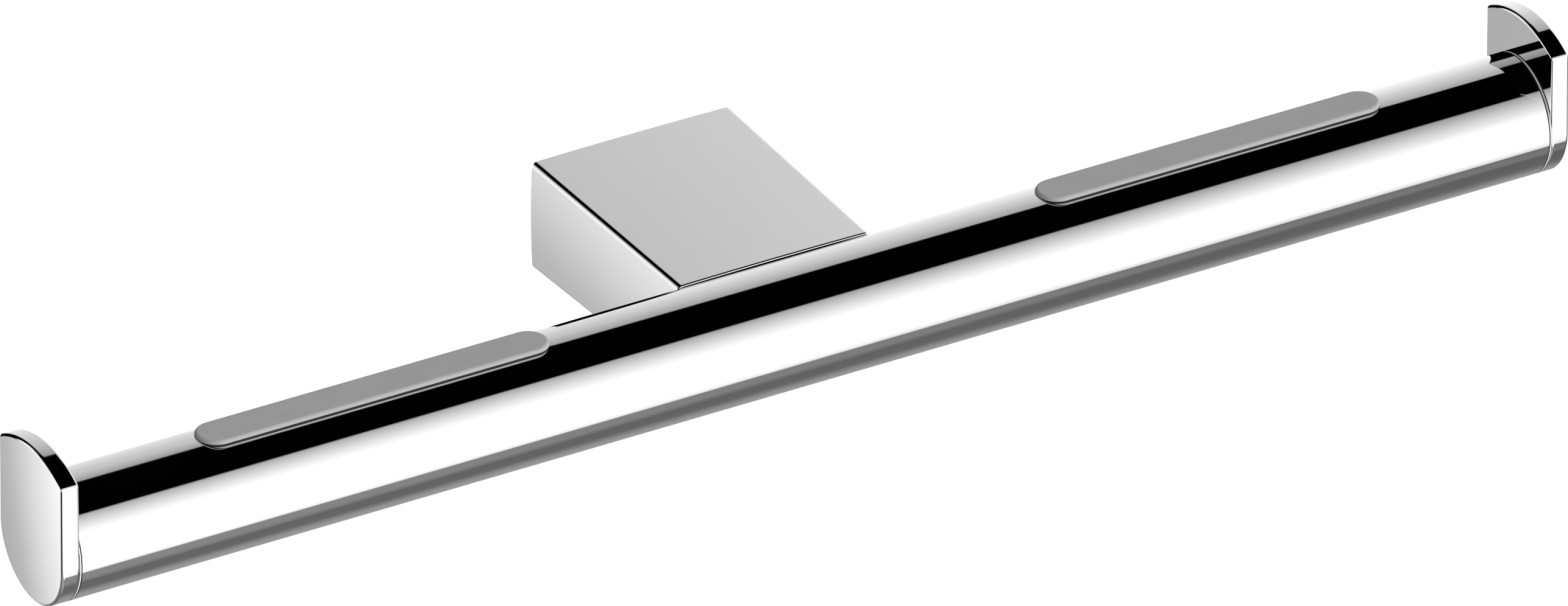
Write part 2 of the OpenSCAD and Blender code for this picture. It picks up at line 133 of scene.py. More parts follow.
# %% From a loop to a body
def grow(bm, loop, move=(0, 0, 0), scale=(1, 1, 1), about=(0, 0, 0)):
    """Extrudes a closed loop of edges, moves and scales the copy about a point, and returns its edges."""
    made = bmesh.ops.extrude_edge_only(bm, edges=loop)["geom"]
    verts = [g for g in made if isinstance(g, bmesh.types.BMVert)]
    new = set(verts)
    edges = [g for g in made if isinstance(g, bmesh.types.BMEdge) and new.issuperset(g.verts)]
    bmesh.ops.scale(bm, vec=scale, space=Matrix.Translation(-Vector(about)), verts=verts)
    bmesh.ops.translate(bm, vec=move, verts=verts)
    return edges


def close(bm, loop):
    """Fills a closed loop of edges with one face."""
    return bmesh.ops.edgeloop_fill(bm, edges=loop)["faces"][0]


def round_edges(bm, edges, radius, segments):
    """Rounds edges with a circular profile, and returns the new faces."""
    bmesh.ops.recalc_face_normals(bm, faces=bm.faces[:])
    return bmesh.ops.bevel(
        bm, geom=edges, offset=radius, offset_type="OFFSET", affect="EDGES",
        segments=segments, profile=0.5, material=-1, clamp_overlap=True
    )["faces"]


# %% [markdown]
# A mirror finish shows every fault of a mesh, because a reflection turns twice as far as the surface
# does. Two habits keep it clean. Faces are shaded smooth, but edges sharper than 30 degrees stay crisp.
# And beside each rounded edge lies a hair-thin band of faces, a support loop: without it the rounding's
# shading would bleed far across the flat face next to it.

# %% Finishing a mesh
CREASE = math.radians(30)
HAIR = 0.04 * MM


def shade(mesh):
    """Shades a mesh smooth, with creases at its sharp edges."""
    mesh.shade_smooth()
    mesh.set_sharp_from_angle(angle=CREASE)


def make_object(bm, name):
    """Turns a bmesh into an object of the scene, with its place in its mesh and its faces outwards."""
    bmesh.ops.remove_doubles(bm, verts=bm.verts[:], dist=SEAM / 10)
    bmesh.ops.recalc_face_normals(bm, faces=bm.faces[:])
    mesh = bpy.data.meshes.new(name)
    bm.to_mesh(mesh)
    bm.free()
    shade(mesh)
    made = bpy.data.objects.new(name, mesh)
    bpy.context.scene.collection.objects.link(made)
    return made


# %% [markdown]
# Where two solids meet in a curve that no simple operator draws, such as a slot in a curved wall, a
# Boolean modifier joins or cuts them. It is applied at once, so that the piece stays a plain mesh. Every
# finished piece then gets its material, hangs on the frame's root body, and hides the frame's part that
# it stands for.

# %% Joining, cutting and handing in a piece
def combine(body, tool, operation):
    """Cuts tool from body, or joins it on, by a Boolean modifier that is then applied."""
    modifier = body.modifiers.new("combine", "BOOLEAN")
    modifier.object = tool
    modifier.operation = operation
    modifier.solver = "EXACT"
    bpy.context.view_layer.update()
    evaluated = body.evaluated_get(bpy.context.evaluated_depsgraph_get())
    old, body.data = body.data, bpy.data.meshes.new_from_object(evaluated)
    body.modifiers.remove(modifier)
    bpy.data.meshes.remove(old)
    bpy.data.meshes.remove(tool.data)
    shade(body.data)


def finish_piece(piece, material, slot, *replaced):
    """Gives a piece its material, hangs it on the root body, and hides the frame's parts it stands for."""
    piece.data.materials.clear()
    piece.data.materials.append(material)
    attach(piece, "root")
    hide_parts(*replaced)
    print(f"{piece.name}: {len(piece.data.polygons)} faces for {', '.join(replaced)}")


# %% [markdown]
# ## Small tools for materials
#
# A material is a tree of nodes. One function adds a node of any kind, with its settings, its links and,
# for a colour ramp, its stops. Colours are written as the sRGB hex values that a colour picker shows, and
# one function turns them into the linear light that the renderer works in.

# %% Colours and nodes
def linear(hex_colour):
    """An sRGB colour such as "#c2a25a" in linear light, with an alpha of 1."""
    parts = [int(hex_colour[i : i + 2], 16) / 255 for i in (1, 3, 5)]
    return [p / 12.92 if p <= 0.04045 else ((p + 0.055) / 1.055) ** 2.4 for p in parts] + [1]


def add_node(tree, kind, inputs=None, stops=(), **settings):
    """Adds a node. inputs gives a socket's value, or the output that feeds it, by name or number.

    stops gives a colour ramp's stops, each as a place from 0 to 1 and a linear colour.
    """
    node = tree.nodes.new("ShaderNode" + kind)
    for name, value in settings.items():
        setattr(node, name, value)
    for key, value in (inputs or {}).items():
        if isinstance(value, bpy.types.NodeSocket):
            tree.links.new(value, node.inputs[key])
        else:
            node.inputs[key].default_value = value
    for place, _ in stops[1:-1]:
        node.color_ramp.elements.new(place)
    for i, (place, colour) in enumerate(stops):
        node.color_ramp.elements[i].position = place
        node.color_ramp.elements[i].color = colour
    return node


# %% [markdown]
# Every finish on this holder is built alike. One pattern plays between two close colours, one between
# two degrees of roughness, and one stands for the surface's tiny hills. That slight unevenness is what
# keeps a material from looking like a drawing.

# %% A material and its patterns
def new_material(name):
    """A material with a Principled shader, and the object's own coordinates for its patterns."""
    material = bpy.data.materials.new(name)
    material.use_nodes = True
    tree = material.node_tree
    shader = tree.nodes["Principled BSDF"]
    place = add_node(tree, "TexCoord").outputs["Object"]
    return material, tree, shader, place


def dress(tree, shader, colour, roughness, relief):
    """Lets patterns play on a shader.

    colour is a pattern and the two hex values it plays between, roughness a pattern and its two degrees,
    and relief a pattern and the height of its hills.
    """
    pattern, low, high = colour
    tint = add_node(tree, "ValToRGB", {"Fac": pattern}, stops=[(0, linear(low)), (1, linear(high))])
    pattern, low, high = roughness
    sheen = add_node(tree, "MapRange", {"Value": pattern, "To Min": low, "To Max": high})
    pattern, depth = relief
    bump = add_node(tree, "Bump", {"Height": pattern, "Strength": 1.0, "Distance": depth})
    tree.links.new(tint.outputs["Color"], shader.inputs["Base Color"])
    tree.links.new(sheen.outputs[0], shader.inputs["Roughness"])
    tree.links.new(bump.outputs["Normal"], shader.inputs["Normal"])


# %% [markdown]
# ## Chrome
#
# Chrome on polished brass or zinc is a mirror with a very slight cool tint. Real plating is never quite
# even: it has a faint orange peel a few millimetres wide, from the metal under it, and a trace of haze
# from the polishing wheel. Both are kept so weak that straight reflections stay straight. The tube was
# drawn and polished lengthways, so its haze is stretched along X, and the castings' haze is round.

# %% Chrome
PEEL = 3 * MM
HAZE = 9 * MM
MIRROR_ROUGH = (0.02, 0.05)


def chrome(name, stretch, peel_height):
    """A mirror with weak haze and orange peel. stretch is how much longer the haze is along X."""
    material, tree, shader, place = new_material(name)
    shader.inputs["Metallic"].default_value = 1.0
    along = add_node(tree, "Mapping", {"Vector": place, "Scale": (1 / stretch, 1, 1)}).outputs[0]
    haze = add_node(tree, "TexNoise", {"Vector": along, "Scale": 1 / HAZE, "Detail": 4.0}).outputs["Fac"]
    peel = add_node(tree, "TexNoise", {"Vector": place, "Scale": 1 / PEEL, "Detail": 1.0}).outputs["Fac"]
    dress(tree, shader, (haze, "#f5f5f6", "#f8f8f9"), (haze, *MIRROR_ROUGH), (peel, peel_height))
    return material


chromed_tube = chrome("Chromed brass tube", 12, 0.0001 * MM)
chromed_casting = chrome("Chromed zinc casting", 1, 0.00015 * MM)
print("made", chromed_tube.name, "and", chromed_casting.name)

# %% [markdown]
# ## Soft rubber
#
# The pads are moulded from soft grey rubber. Its skin copies the spark-eroded steel of the mould, a grain
# of about a fifth of a millimetre, so it is matt and shows only broad, weak highlights at its edges.
# The sealing rings are black nitrile rubber, matt with a dusty bloom. Where the tube meets a plate, the
# floor of a fine gap wears the same black as painted shade, and the gap ends in a bead of pale silicone
# whose light colour is partly a painted highlight of the joint: beside the mirrors they read as a light
# line with a dark edge.
# A wide, faint cloud of colour lies over each, as a batch of rubber is never mixed quite evenly.

# %% Soft rubber
CLOUD = 6 * MM
RUBBER_SPREAD = 0.06


def moulded_rubber(name, low, high, grain, depth, roughness):
    """Matt rubber whose skin is a fine mould grain over slight clouds of colour."""
    material, tree, shader, place = new_material(name)
    cloud = add_node(tree, "TexNoise", {"Vector": place, "Scale": 1 / CLOUD, "Detail": 3.0}).outputs["Fac"]
    skin = add_node(tree, "TexNoise", {"Vector": place, "Scale": 1 / grain, "Detail": 2.0}).outputs["Fac"]
    sheen = (skin, roughness - RUBBER_SPREAD, roughness + RUBBER_SPREAD)
    dress(tree, shader, (cloud, low, high), sheen, (skin, depth))
    return material


pad_rubber = moulded_rubber("Moulded soft rubber", "#8d8d8d", "#959595", 0.2 * MM, 0.01 * MM, 0.45)
# Nitrile for the rings, and painted shade on the floor of the tube's end gaps.
ring_rubber = moulded_rubber("Nitrile rubber and gap shade", "#1d1e1f", "#29292a", 0.1 * MM, 0.01 * MM, 0.6)
# The bead's pale colour is partly a painted highlight where tube and plate meet.
silicone = moulded_rubber("Pale silicone and joint highlight", "#ebebea", "#f2f2f1", 0.3 * MM, 0.004 * MM, 0.4)
print("made", pad_rubber.name + ",", ring_rubber.name, "and", silicone.name)

# %% [markdown]
# ## Metals inside
#
# The plugs are bar brass from a lathe, so their tool marks run round the X axis: bands along X do that.
# Real marks lie one or two tenths of a millimetre apart. These are drawn 1.6 mm apart, because finer ones
# wouldn't show. A wave texture of scale 1 turns its wave through WAVE_RADIANS in each metre.
# Screws and washers are stainless steel, tumbled to a satin. The bracket and the clamp block are steel
# with clear-passivated zinc, which is dull, finely speckled and slightly blue.

# %% Metals inside
TOOL_MARK = 0.25 * math.tau * MM
TOOL_WOBBLE = 0.4
WAVE_RADIANS = 20
SPECKLE = 0.6 * MM
METAL_SMOOTHER, METAL_ROUGHER = 0.05, 0.08


def plain_metal(name, low, high, pattern_of, roughness, depth):
    """Bare or plated metal. pattern_of makes its surface pattern from the tree and the coordinates."""
    material, tree, shader, place = new_material(name)
    shader.inputs["Metallic"].default_value = 1.0
    pattern = pattern_of(tree, place)
    sheen = (pattern, roughness - METAL_SMOOTHER, roughness + METAL_ROUGHER)
    dress(tree, shader, (pattern, low, high), sheen, (pattern, depth))
    return material


def turned_bands(tree, place):
    """Tool marks that follow each other along X."""
    scale = math.tau / (WAVE_RADIANS * TOOL_MARK)
    return add_node(
        tree, "TexWave", {"Vector": place, "Scale": scale, "Distortion": TOOL_WOBBLE}, bands_direction="X"
    ).outputs["Fac"]


def speckles(tree, place):
    """Crystals of plating, or the dents of tumbling."""
    return add_node(tree, "TexVoronoi", {"Vector": place, "Scale": 1 / SPECKLE}).outputs["Distance"]


turned_brass = plain_metal("Turned brass", "#b98f45", "#d3b06a", turned_bands, 0.28, 0.003 * MM)
stainless = plain_metal("Tumbled stainless steel", "#b4b6b8", "#cfd1d2", speckles, 0.34, 0.002 * MM)
zinc_plate = plain_metal("Passivated zinc on steel", "#9fa5ab", "#c3c8cc", speckles, 0.42, 0.004 * MM)
print("made", turned_brass.name + ",", stainless.name, "and", zinc_plate.name)

# %% [markdown]
# ## Moulded nylon
#
# The carriers inside the tube are moulded nylon with glass fibre: near black, and slightly mottled where
# the short fibres lie under the skin. The flow of the melt lays them along the part, so the mottle is
# stretched along X.

# %% Moulded nylon
FIBRE = 0.5 * MM
FIBRE_STRETCH = 4
NYLON_ROUGH = (0.4, 0.6)
NYLON_DEPTH = 0.01 * MM


def fibre_nylon(name):
    """Dark glass-filled nylon with short streaks of fibre."""
    material, tree, shader, place = new_material(name)
    flow = add_node(tree, "Mapping", {"Vector": place, "Scale": (1 / FIBRE_STRETCH, 1, 1)}).outputs[0]
    fibre = add_node(tree, "TexNoise", {"Vector": flow, "Scale": 1 / FIBRE, "Detail": 3.0}).outputs["Fac"]
    dress(tree, shader, (fibre, "#3a3c3e", "#55585b"), (fibre, *NYLON_ROUGH), (fibre, NYLON_DEPTH))
    return material


# The same dark nylon also goes on the pads' grooves as painted shade.
nylon_and_groove_shade = fibre_nylon("Glass-filled nylon")
print("made", nylon_and_groove_shade.name)

# %% [markdown]
# ## Parts that keep their frame mesh
#
# A hidden part whose shape is right needs no new mesh. It keeps the frame's, and gets a real finish.

# %% Dress the frame's own parts
KEPT = {
    "left_end_plug": turned_brass, "right_end_plug": turned_brass,
    "left_pad_carrier": nylon_and_groove_shade, "right_pad_carrier": nylon_and_groove_shade,
    "clamp_block": zinc_plate, "wall_bracket": zinc_plate, "clamp_washers": stainless,
}
for name, material in KEPT.items():
    for material_slot in nodes[name].material_slots:
        material_slot.material = material
    print(f"{name}: {material.name}")

# %% [markdown]
# ## The tube
#
# The tube is the largest mirror, so it gets 240 facets round and a row of stations along, where the
# frame has 44. Half of its lengthways cut, drawn as a closed loop, is turned a full circle about the
# axis. Close to each end the loop steps in by 0.06 mm: that is the gap where tube and plate meet, partly
# filled by a bead. The slots for the pads are then cut by a Boolean.

# %% The tube's turned body
TUBE_FACETS = 240
TUBE_STATIONS = 74
BEAD = 0.18 * MM
GAP_END = 0.5 * MM
GAP_SUNK = 0.06 * MM


def turned(bm, steps, axis=X_AXIS):
    """Turns everything in bm a full circle about an axis through the origin."""
    bmesh.ops.spin(
        bm, geom=bm.verts[:] + bm.edges[:], cent=(0, 0, 0), axis=axis,
        angle=math.tau, steps=steps, use_merge=True
    )


def tube_body():
    """The tube without its slots, with its axis on the X axis."""
    bm = bmesh.new()
    bead, rim, low = TUBE_END - BEAD, TUBE_END - GAP_END, TUBE_R - GAP_SUNK
    joint = [(TUBE_END, BORE_R), (TUBE_END, TUBE_R), (bead, TUBE_R), (bead, low), (rim, low)]
    start = tip = bm.verts.new((-TUBE_END, 0, BORE_R))
    for x, r in joint[1:]:
        tip = draw_line(bm, tip, (-x, 0, r))
    for i in range(TUBE_STATIONS + 1):
        tip = draw_line(bm, tip, (-rim + 2 * rim * i / TUBE_STATIONS, 0, TUBE_R))
    for x, r in reversed(joint):
        tip = draw_line(bm, tip, (x, 0, r))
    bm.edges.new((tip, start))
    turned(bm, TUBE_FACETS)
    bmesh.ops.translate(bm, vec=AXIS, verts=bm.verts[:])
    return make_object(bm, "tube")


tube = tube_body()
print("tube body:", len(tube.data.polygons), "faces")

# %% [markdown]
# A pad's outline is a stadium: two half circles joined by straight lines. The same function draws the
# cutter for the slot and the pads' own bodies, so they fit.

# %% The slots
FLANGE = 2 * MM
SLOT_CLEAR = 0.1 * MM
ROUND_STEPS = 24

pad_low, pad_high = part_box("right_grip_pad")
PAD_W = (pad_high.y - pad_low.y) - 2 * FLANGE
PAD_LEN = (pad_high.x - pad_low.x) - 2 * FLANGE
PAD_X = (pad_high.x + pad_low.x) / 2
PAD_SEAT = pad_low.z


def stadium(bm, length, width, steps):
    """A stadium outline round the origin, long along X, as a closed loop of edges."""
    straight = (length - width) / 2
    start = bm.verts.new((straight, -width / 2, 0))
    tip = draw_arc(bm, start, (straight, 0, 0), Z_AXIS, 180, steps)
    tip = draw_line(bm, tip, (-straight, width / 2, 0))
    tip = draw_arc(bm, tip, (-straight, 0, 0), Z_AXIS, 180, steps)
    bm.edges.new((tip, start))
    return bm.edges[:]


def slot_cutter(x):
    """A tall stadium block that cuts one slot into the upper side of the tube."""
    bm = bmesh.new()
    loop = stadium(bm, PAD_LEN + 2 * SLOT_CLEAR, PAD_W + 2 * SLOT_CLEAR, ROUND_STEPS)
    close(bm, loop)
    close(bm, grow(bm, loop, move=(0, 0, 2 * TUBE_R)))
    bmesh.ops.translate(bm, vec=(x, AXIS.y, AXIS.z), verts=bm.verts[:])
    return make_object(bm, "slot_cutter")


for x in (-PAD_X, PAD_X):
    combine(tube, slot_cutter(x), "DIFFERENCE")
finish_piece(tube, chromed_tube, "chromed_brass", "bar_tube")

# %% [markdown]
# The gap and the bead aren't chrome. A mesh can carry several materials, and each face says by a number
# which one it wears: 0 is the chrome, 1 the black nitrile as painted shade on the gap's floor, and 2 the
# pale silicone of the bead, partly a painted highlight of the joint.

# %% The joint at the tube's ends
tube.data.materials.append(ring_rubber)
tube.data.materials.append(silicone)
# Faces at the ends get painted shade in the gap and a pale bead as a painted highlight.
for face in tube.data.polygons:
    from_end = TUBE_END - abs(face.center.x)
    radius = (Vector((0, face.center.y, face.center.z)) - AXIS).length
    if from_end < GAP_END and radius > TUBE_R - 2 * GAP_SUNK:
        face.material_index = 2 if from_end < BEAD else 1
print("faces of the joints:", sum(face.material_index > 0 for face in tube.data.polygons))

# %% [markdown]
# ## The end plates
#
# A plate is round below like the tube, straight at its sides and arched on top, with two small corners.
# Its half outline is four strokes of the drawing vertex, and a mirror closes it. The loop grows into a
# prism, whose two rims are then rounded by bevel.

# %% A plate's outline
plate_low, plate_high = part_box("right_end_plate")
PLATE_T = plate_high.x - plate_low.x
PLATE_TOP = plate_high.z - AXIS.z
PLATE_TOP_R = 26.5 * MM
PLATE_CORNER_R = 1.25 * MM
PLATE_RIM_R = 0.7 * MM


def plate_outline(bm):
    """The outline of a plate in the plane x = 0, round the tube's axis."""
    top_centre = PLATE_TOP - PLATE_TOP_R
    corner_y = TUBE_R - PLATE_CORNER_R
    corner_z = top_centre + math.sqrt((PLATE_TOP_R - PLATE_CORNER_R) ** 2 - corner_y**2)
    turn = math.degrees(math.atan2(corner_z - top_centre, corner_y))
    tip = bm.verts.new((0, 0, -TUBE_R))
    tip = draw_arc(bm, tip, (0, 0, 0), X_AXIS, 90, steps=40)
    tip = draw_line(bm, tip, (0, TUBE_R, corner_z))
    tip = draw_arc(bm, tip, (0, corner_y, corner_z), X_AXIS, turn, steps=10)
    draw_arc(bm, tip, (0, 0, top_centre), X_AXIS, 90 - turn, steps=24)
    return close_by_mirror(bm, "Y")


print(f"plates: {PLATE_T / MM:.1f} mm thick, {(PLATE_TOP + TUBE_R) / MM:.1f} mm high")

# %% [markdown]
# The outer face is a very shallow dome. In a mirror that matters more than its 0.4 mm suggest: the dome
# spreads the studio's soft gradient over the whole face. The face is drawn in with rings that shrink
# towards its middle, and every point of the plate's outer half then sinks with the dome's sphere.

# %% The domed plate
PLATE_DOME_R = 500 * MM
PLATE_RINGS = 14


def end_plate(name, side):
    """One end plate: side is 1 for the right end and -1 for the left."""
    bm = bmesh.new()
    inner = plate_outline(bm)
    step = PLATE_RIM_R + HAIR
    loop = grow(bm, inner, move=(step, 0, 0))
    loop = grow(bm, loop, move=(PLATE_T - 2 * step, 0, 0))
    outer = grow(bm, loop, move=(step, 0, 0))
    close(bm, inner)
    close(bm, outer)
    round_edges(bm, inner + outer, PLATE_RIM_R, segments=8)
    middle = Vector((0, 0, (PLATE_TOP - TUBE_R) / 2))
    for face in sorted(bm.faces, key=lambda f: f.calc_area())[-2:]:
        loop = face.edges[:]
        bmesh.ops.delete(bm, geom=[face], context="FACES_ONLY")
        for i in range(PLATE_RINGS, 1, -1):
            shrink = (i - 1) / i
            loop = grow(bm, loop, scale=(1, shrink, shrink), about=middle)
        bmesh.ops.poke(bm, faces=[close(bm, loop)])
    for v in bm.verts:
        if v.co.x > PLATE_T / 2:
            v.co.x -= ((v.co.y - middle.y) ** 2 + (v.co.z - middle.z) ** 2) / (2 * PLATE_DOME_R)
    bmesh.ops.translate(bm, vec=(TUBE_END, AXIS.y, AXIS.z), verts=bm.verts[:])
    bmesh.ops.scale(bm, vec=(side, 1, 1), verts=bm.verts[:])
    return make_object(bm, name)


print(f"dome: radius {PLATE_DOME_R / MM:.0f} mm, drawn with {PLATE_RINGS} rings")

# %% [markdown]
# A flat or domed face has normals that are known exactly, so they are written into the mesh instead of
# being averaged from its narrow faces: no ring shows in the mirror.

# %% The plates with their exact normals
ON_FACE = MM / 100


def write_normals(mesh, side, middle):
    """Gives the vertices of the flat inner face and the domed outer face their exact normals."""
    normals = [v.normal.copy() for v in mesh.vertices]
    for i, v in enumerate(mesh.vertices):
        out = v.co - middle
        sunk = (out.y**2 + out.z**2) / (2 * PLATE_DOME_R)
        if abs(abs(v.co.x) - TUBE_END) < ON_FACE:
            normals[i] = Vector((-side, 0, 0))
        elif abs(abs(v.co.x) + sunk - TUBE_END - PLATE_T) < ON_FACE:
            normals[i] = Vector((side, out.y / PLATE_DOME_R, out.z / PLATE_DOME_R)).normalized()
    mesh.normals_split_custom_set_from_vertices(normals)


for word, side in SIDES.items():
    plate = end_plate(word + "_plate", side)
    write_normals(plate.data, side, AXIS + Z_AXIS * (PLATE_TOP - TUBE_R) / 2)
    finish_piece(plate, chromed_casting, "chromed_zinc", word + "_end_plate")

# %% [markdown]
# ## The arm
#
# The arm is a hollow zinc casting. All its faces lean in a little towards the front, the draft that lets
# it leave the die, and each is slightly crowned, which keeps a large polished face from looking hollow.
# So the section is a chain of arcs again, now in the plane of the wall: shallow ones for the faces and
# small ones for the corners, each running smoothly into the next.

# %% The arm's section
arm_low, arm_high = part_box("support_arm")
SIDE_CROWN = 0.3 * MM
TOP_CROWN = 0.17 * MM
ARM_W = arm_high.x - arm_low.x - 2 * SIDE_CROWN
ARM_H = arm_high.z - arm_low.z - 2 * TOP_CROWN
ARM_LEN = -arm_low.y
ARM_TOP_R = 1.4 * MM
ARM_BOTTOM_R = 0.8 * MM


def crown_radius(half, corner_r, crown):
    """The radius of a face that rises by crown. half is from its middle to a corner arc's centre."""
    return corner_r + (half**2 + crown**2) / (2 * crown)


def crowned_arc(bm, tip, centre, degrees, radius, steps):
    """Draws a face's shallow arc, with a hair-thin step at each end as a support for its shading."""
    thin = math.degrees(HAIR / radius)
    tip = draw_arc(bm, tip, centre, -Y_AXIS, thin, steps=1)
    tip = draw_arc(bm, tip, centre, -Y_AXIS, degrees - 2 * thin, steps)
    return draw_arc(bm, tip, centre, -Y_AXIS, thin, steps=1)


def arm_section(bm):
    """The arm's outline at the wall, drawn from the middle of its underside to the middle of its top.

    The names end in t at the top corner and in b at the bottom corner: r is its radius, x and z the
    place of its arc's centre. a_ angles say how far each face's arc turns.
    """
    rt, rb = ARM_TOP_R, ARM_BOTTOM_R
    xt, zt = ARM_W / 2 - rt, ARM_H / 2 - rt
    xb, zb = ARM_W / 2 - rb, rb - ARM_H / 2
    up = ((zt - zb) ** 2 - 2 * SIDE_CROWN * (rt - rb)) / (2 * (zt - zb))
    side_r = crown_radius(up, rt, SIDE_CROWN)
    top_r = crown_radius(xt, rt, TOP_CROWN)
    bottom_r = crown_radius(xb, rb, TOP_CROWN)
    side_z = zt - up
    a_up = math.degrees(math.asin(up / (side_r - rt)))
    a_down = math.degrees(math.asin((side_z - zb) / (side_r - rb)))
    a_top = math.degrees(math.asin(xt / (top_r - rt)))
    a_bottom = math.degrees(math.asin(xb / (bottom_r - rb)))
    low = -ARM_H / 2 - TOP_CROWN
    tip = bm.verts.new((0, 0, low))
    tip = crowned_arc(bm, tip, (0, 0, low + bottom_r), a_bottom, bottom_r, steps=12)
    tip = draw_arc(bm, tip, (xb, 0, zb), -Y_AXIS, 90 - a_bottom - a_down, steps=8)
    side_centre = (ARM_W / 2 + SIDE_CROWN - side_r, 0, side_z)
    tip = crowned_arc(bm, tip, side_centre, a_down + a_up, side_r, steps=16)
    tip = draw_arc(bm, tip, (xt, 0, zt), -Y_AXIS, 90 - a_up - a_top, steps=12)
    crowned_arc(bm, tip, (0, 0, ARM_H / 2 + TOP_CROWN - top_r), a_top, top_r, steps=12)
    return close_by_mirror(bm, "X")


print(f"arm: {ARM_W / MM:.1f} x {ARM_H / MM:.1f} mm at the wall without its crowns")

# %% [markdown]
# The section grows from the wall to the front, where its rim is rounded. From the same section at the
# wall it also grows inwards: first across the wall's thickness, then along the inside, and so the
# casting is hollow, as the real one is to take the bracket.

# %% The arm's casting
SIDE_DRAFT = math.tan(math.radians(0.96))
TOP_DRAFT = math.tan(math.radians(0.7))
BOTTOM_DRAFT = math.tan(math.radians(1.26))
ARM_FRONT_R = 0.5 * MM
ARM_WALL = 2.6 * MM
CAVITY_LEN = 52.5 * MM


def drafted(bm, loop, depth, run, inset=0.0):
    """Grows the section along the arm by run, starting at depth, and leans each face in by its draft."""
    def size(y):
        wide = ARM_W - 2 * inset - 2 * y * SIDE_DRAFT
        high = ARM_H - 2 * inset - y * (TOP_DRAFT + BOTTOM_DRAFT)
        middle = y * (BOTTOM_DRAFT - TOP_DRAFT) / 2
        return wide, high, middle

    wide0, high0, middle0 = size(depth)
    wide1, high1, middle1 = size(depth + run)
    return grow(
        bm, loop, move=(0, -run, middle1 - middle0),
        scale=(wide1 / wide0, 1, high1 / high0), about=(0, 0, middle0)
    )


def arm_casting():
    """The arm as a hollow block, before its saddle and its fittings."""
    bm = bmesh.new()
    section = arm_section(bm)
    near_front = ARM_LEN - ARM_FRONT_R - HAIR
    loop = drafted(bm, section, 0, near_front)
    front = drafted(bm, loop, near_front, ARM_LEN - near_front)
    close(bm, front)
    round_edges(bm, front, ARM_FRONT_R, segments=5)
    rim = grow(bm, section, scale=(1 - 2 * ARM_WALL / ARM_W, 1, 1 - 2 * ARM_WALL / ARM_H))
    close(bm, drafted(bm, rim, 0, CAVITY_LEN, ARM_WALL))
    return make_object(bm, "arm")


arm = arm_casting()
print("arm casting:", len(arm.data.polygons), "faces")

# %% [markdown]
# The rest of the arm is plain rods and blocks, joined on or cut off. Two small functions make them, so
# that a line for each is enough.

# %% Rods and blocks
ROD_SIDES = 48


def rod(radius, start, end, sides=ROD_SIDES):
    """A closed round rod between two points, as a tool for combine."""
    start, end = Vector(start), Vector(end)
    bm = bmesh.new()
    bmesh.ops.create_cone(
        bm, cap_ends=True, segments=sides, radius1=radius, radius2=radius, depth=(end - start).length
    )
    turn = (end - start).to_track_quat("Z", "Y").to_matrix().to_4x4()
    bmesh.ops.transform(bm, matrix=Matrix.Translation((start + end) / 2) @ turn, verts=bm.verts[:])
    return make_object(bm, "rod")


def block(low, high):
    """A box between two corners, as a tool for combine."""
    bm = bmesh.new()
    bmesh.ops.create_cube(bm, size=1)
    low, high = Vector(low), Vector(high)
    bmesh.ops.scale(bm, vec=high - low, verts=bm.verts[:])
    bmesh.ops.translate(bm, vec=(low + high) / 2, verts=bm.verts[:])
    return make_object(bm, "block")


# %% [markdown]
# Inside, two ribs guide the bracket's tongue, a boss below takes the locking screw, and a low boss lies
# round each clamp screw. They are joined on first, so that the saddle and the holes then cut through
# everything at once.

# %% The arm's ribs and bosses
TONGUE_W = 10 * MM
TONGUE_H = 11 * MM
GUIDE_T = 2 * MM
GUIDE_CLEAR = 0.25 * MM
GUIDE_FROM, GUIDE_TO = 4.25 * MM, 22 * MM
LOCK_R = 2.5 * MM
BOSS_WALL = 2.2 * MM
CLAMP_X = 12 * MM
CLAMP_R = 2.5 * MM
CLAMP_BOSS_R = 5.65 * MM
CLAMP_SEAT = CAVITY_LEN - 1.5 * MM

lock_low, lock_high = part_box("lock_screw")
LOCK_Y = (lock_low.y + lock_high.y) / 2

inside_top = ARM_H / 2 - ARM_WALL / 2
for side in SIDES.values():
    near = side * (TONGUE_W / 2 + GUIDE_CLEAR)
    x0, x1 = sorted((near, near + side * GUIDE_T))
    combine(arm, block((x0, -GUIDE_TO, TONGUE_H / 4), (x1, -GUIDE_FROM, inside_top)), "UNION")
    x = side * CLAMP_X
    combine(arm, rod(CLAMP_BOSS_R, (x, -CLAMP_SEAT, AXIS.z), (x, -CAVITY_LEN - MM, AXIS.z)), "UNION")
boss_top = -TONGUE_H / 2 - GUIDE_CLEAR
combine(arm, rod(LOCK_R + BOSS_WALL, (0, LOCK_Y, -inside_top), (0, LOCK_Y, boss_top)), "UNION")
print("arm with its fittings:", len(arm.data.polygons), "faces")

# %% [markdown]
# The saddle has to match the tube that lies in it, so its rod has as many facets as the tube and a radius
# larger by the clearance alone. The clamp screws pass their holes freely, and the lock screw turns in its
# thread.

# %% The arm's saddle and holes
SADDLE_CLEAR = 0.1 * MM
CLAMP_CLEAR = 0.25 * MM
LOCK_CLEAR = 0.05 * MM

saddle = rod(TUBE_R + SADDLE_CLEAR, AXIS - X_AXIS * ARM_W, AXIS + X_AXIS * ARM_W, TUBE_FACETS)
combine(arm, saddle, "DIFFERENCE")
for x in (-CLAMP_X, CLAMP_X):
    hole = rod(CLAMP_R + CLAMP_CLEAR, (x, -CAVITY_LEN / 2, AXIS.z), (x, AXIS.y, AXIS.z))
    combine(arm, hole, "DIFFERENCE")
combine(arm, rod(LOCK_R + LOCK_CLEAR, (0, LOCK_Y, -ARM_H), (0, LOCK_Y, 0)), "DIFFERENCE")
finish_piece(arm, chromed_casting, "chromed_zinc", "support_arm")
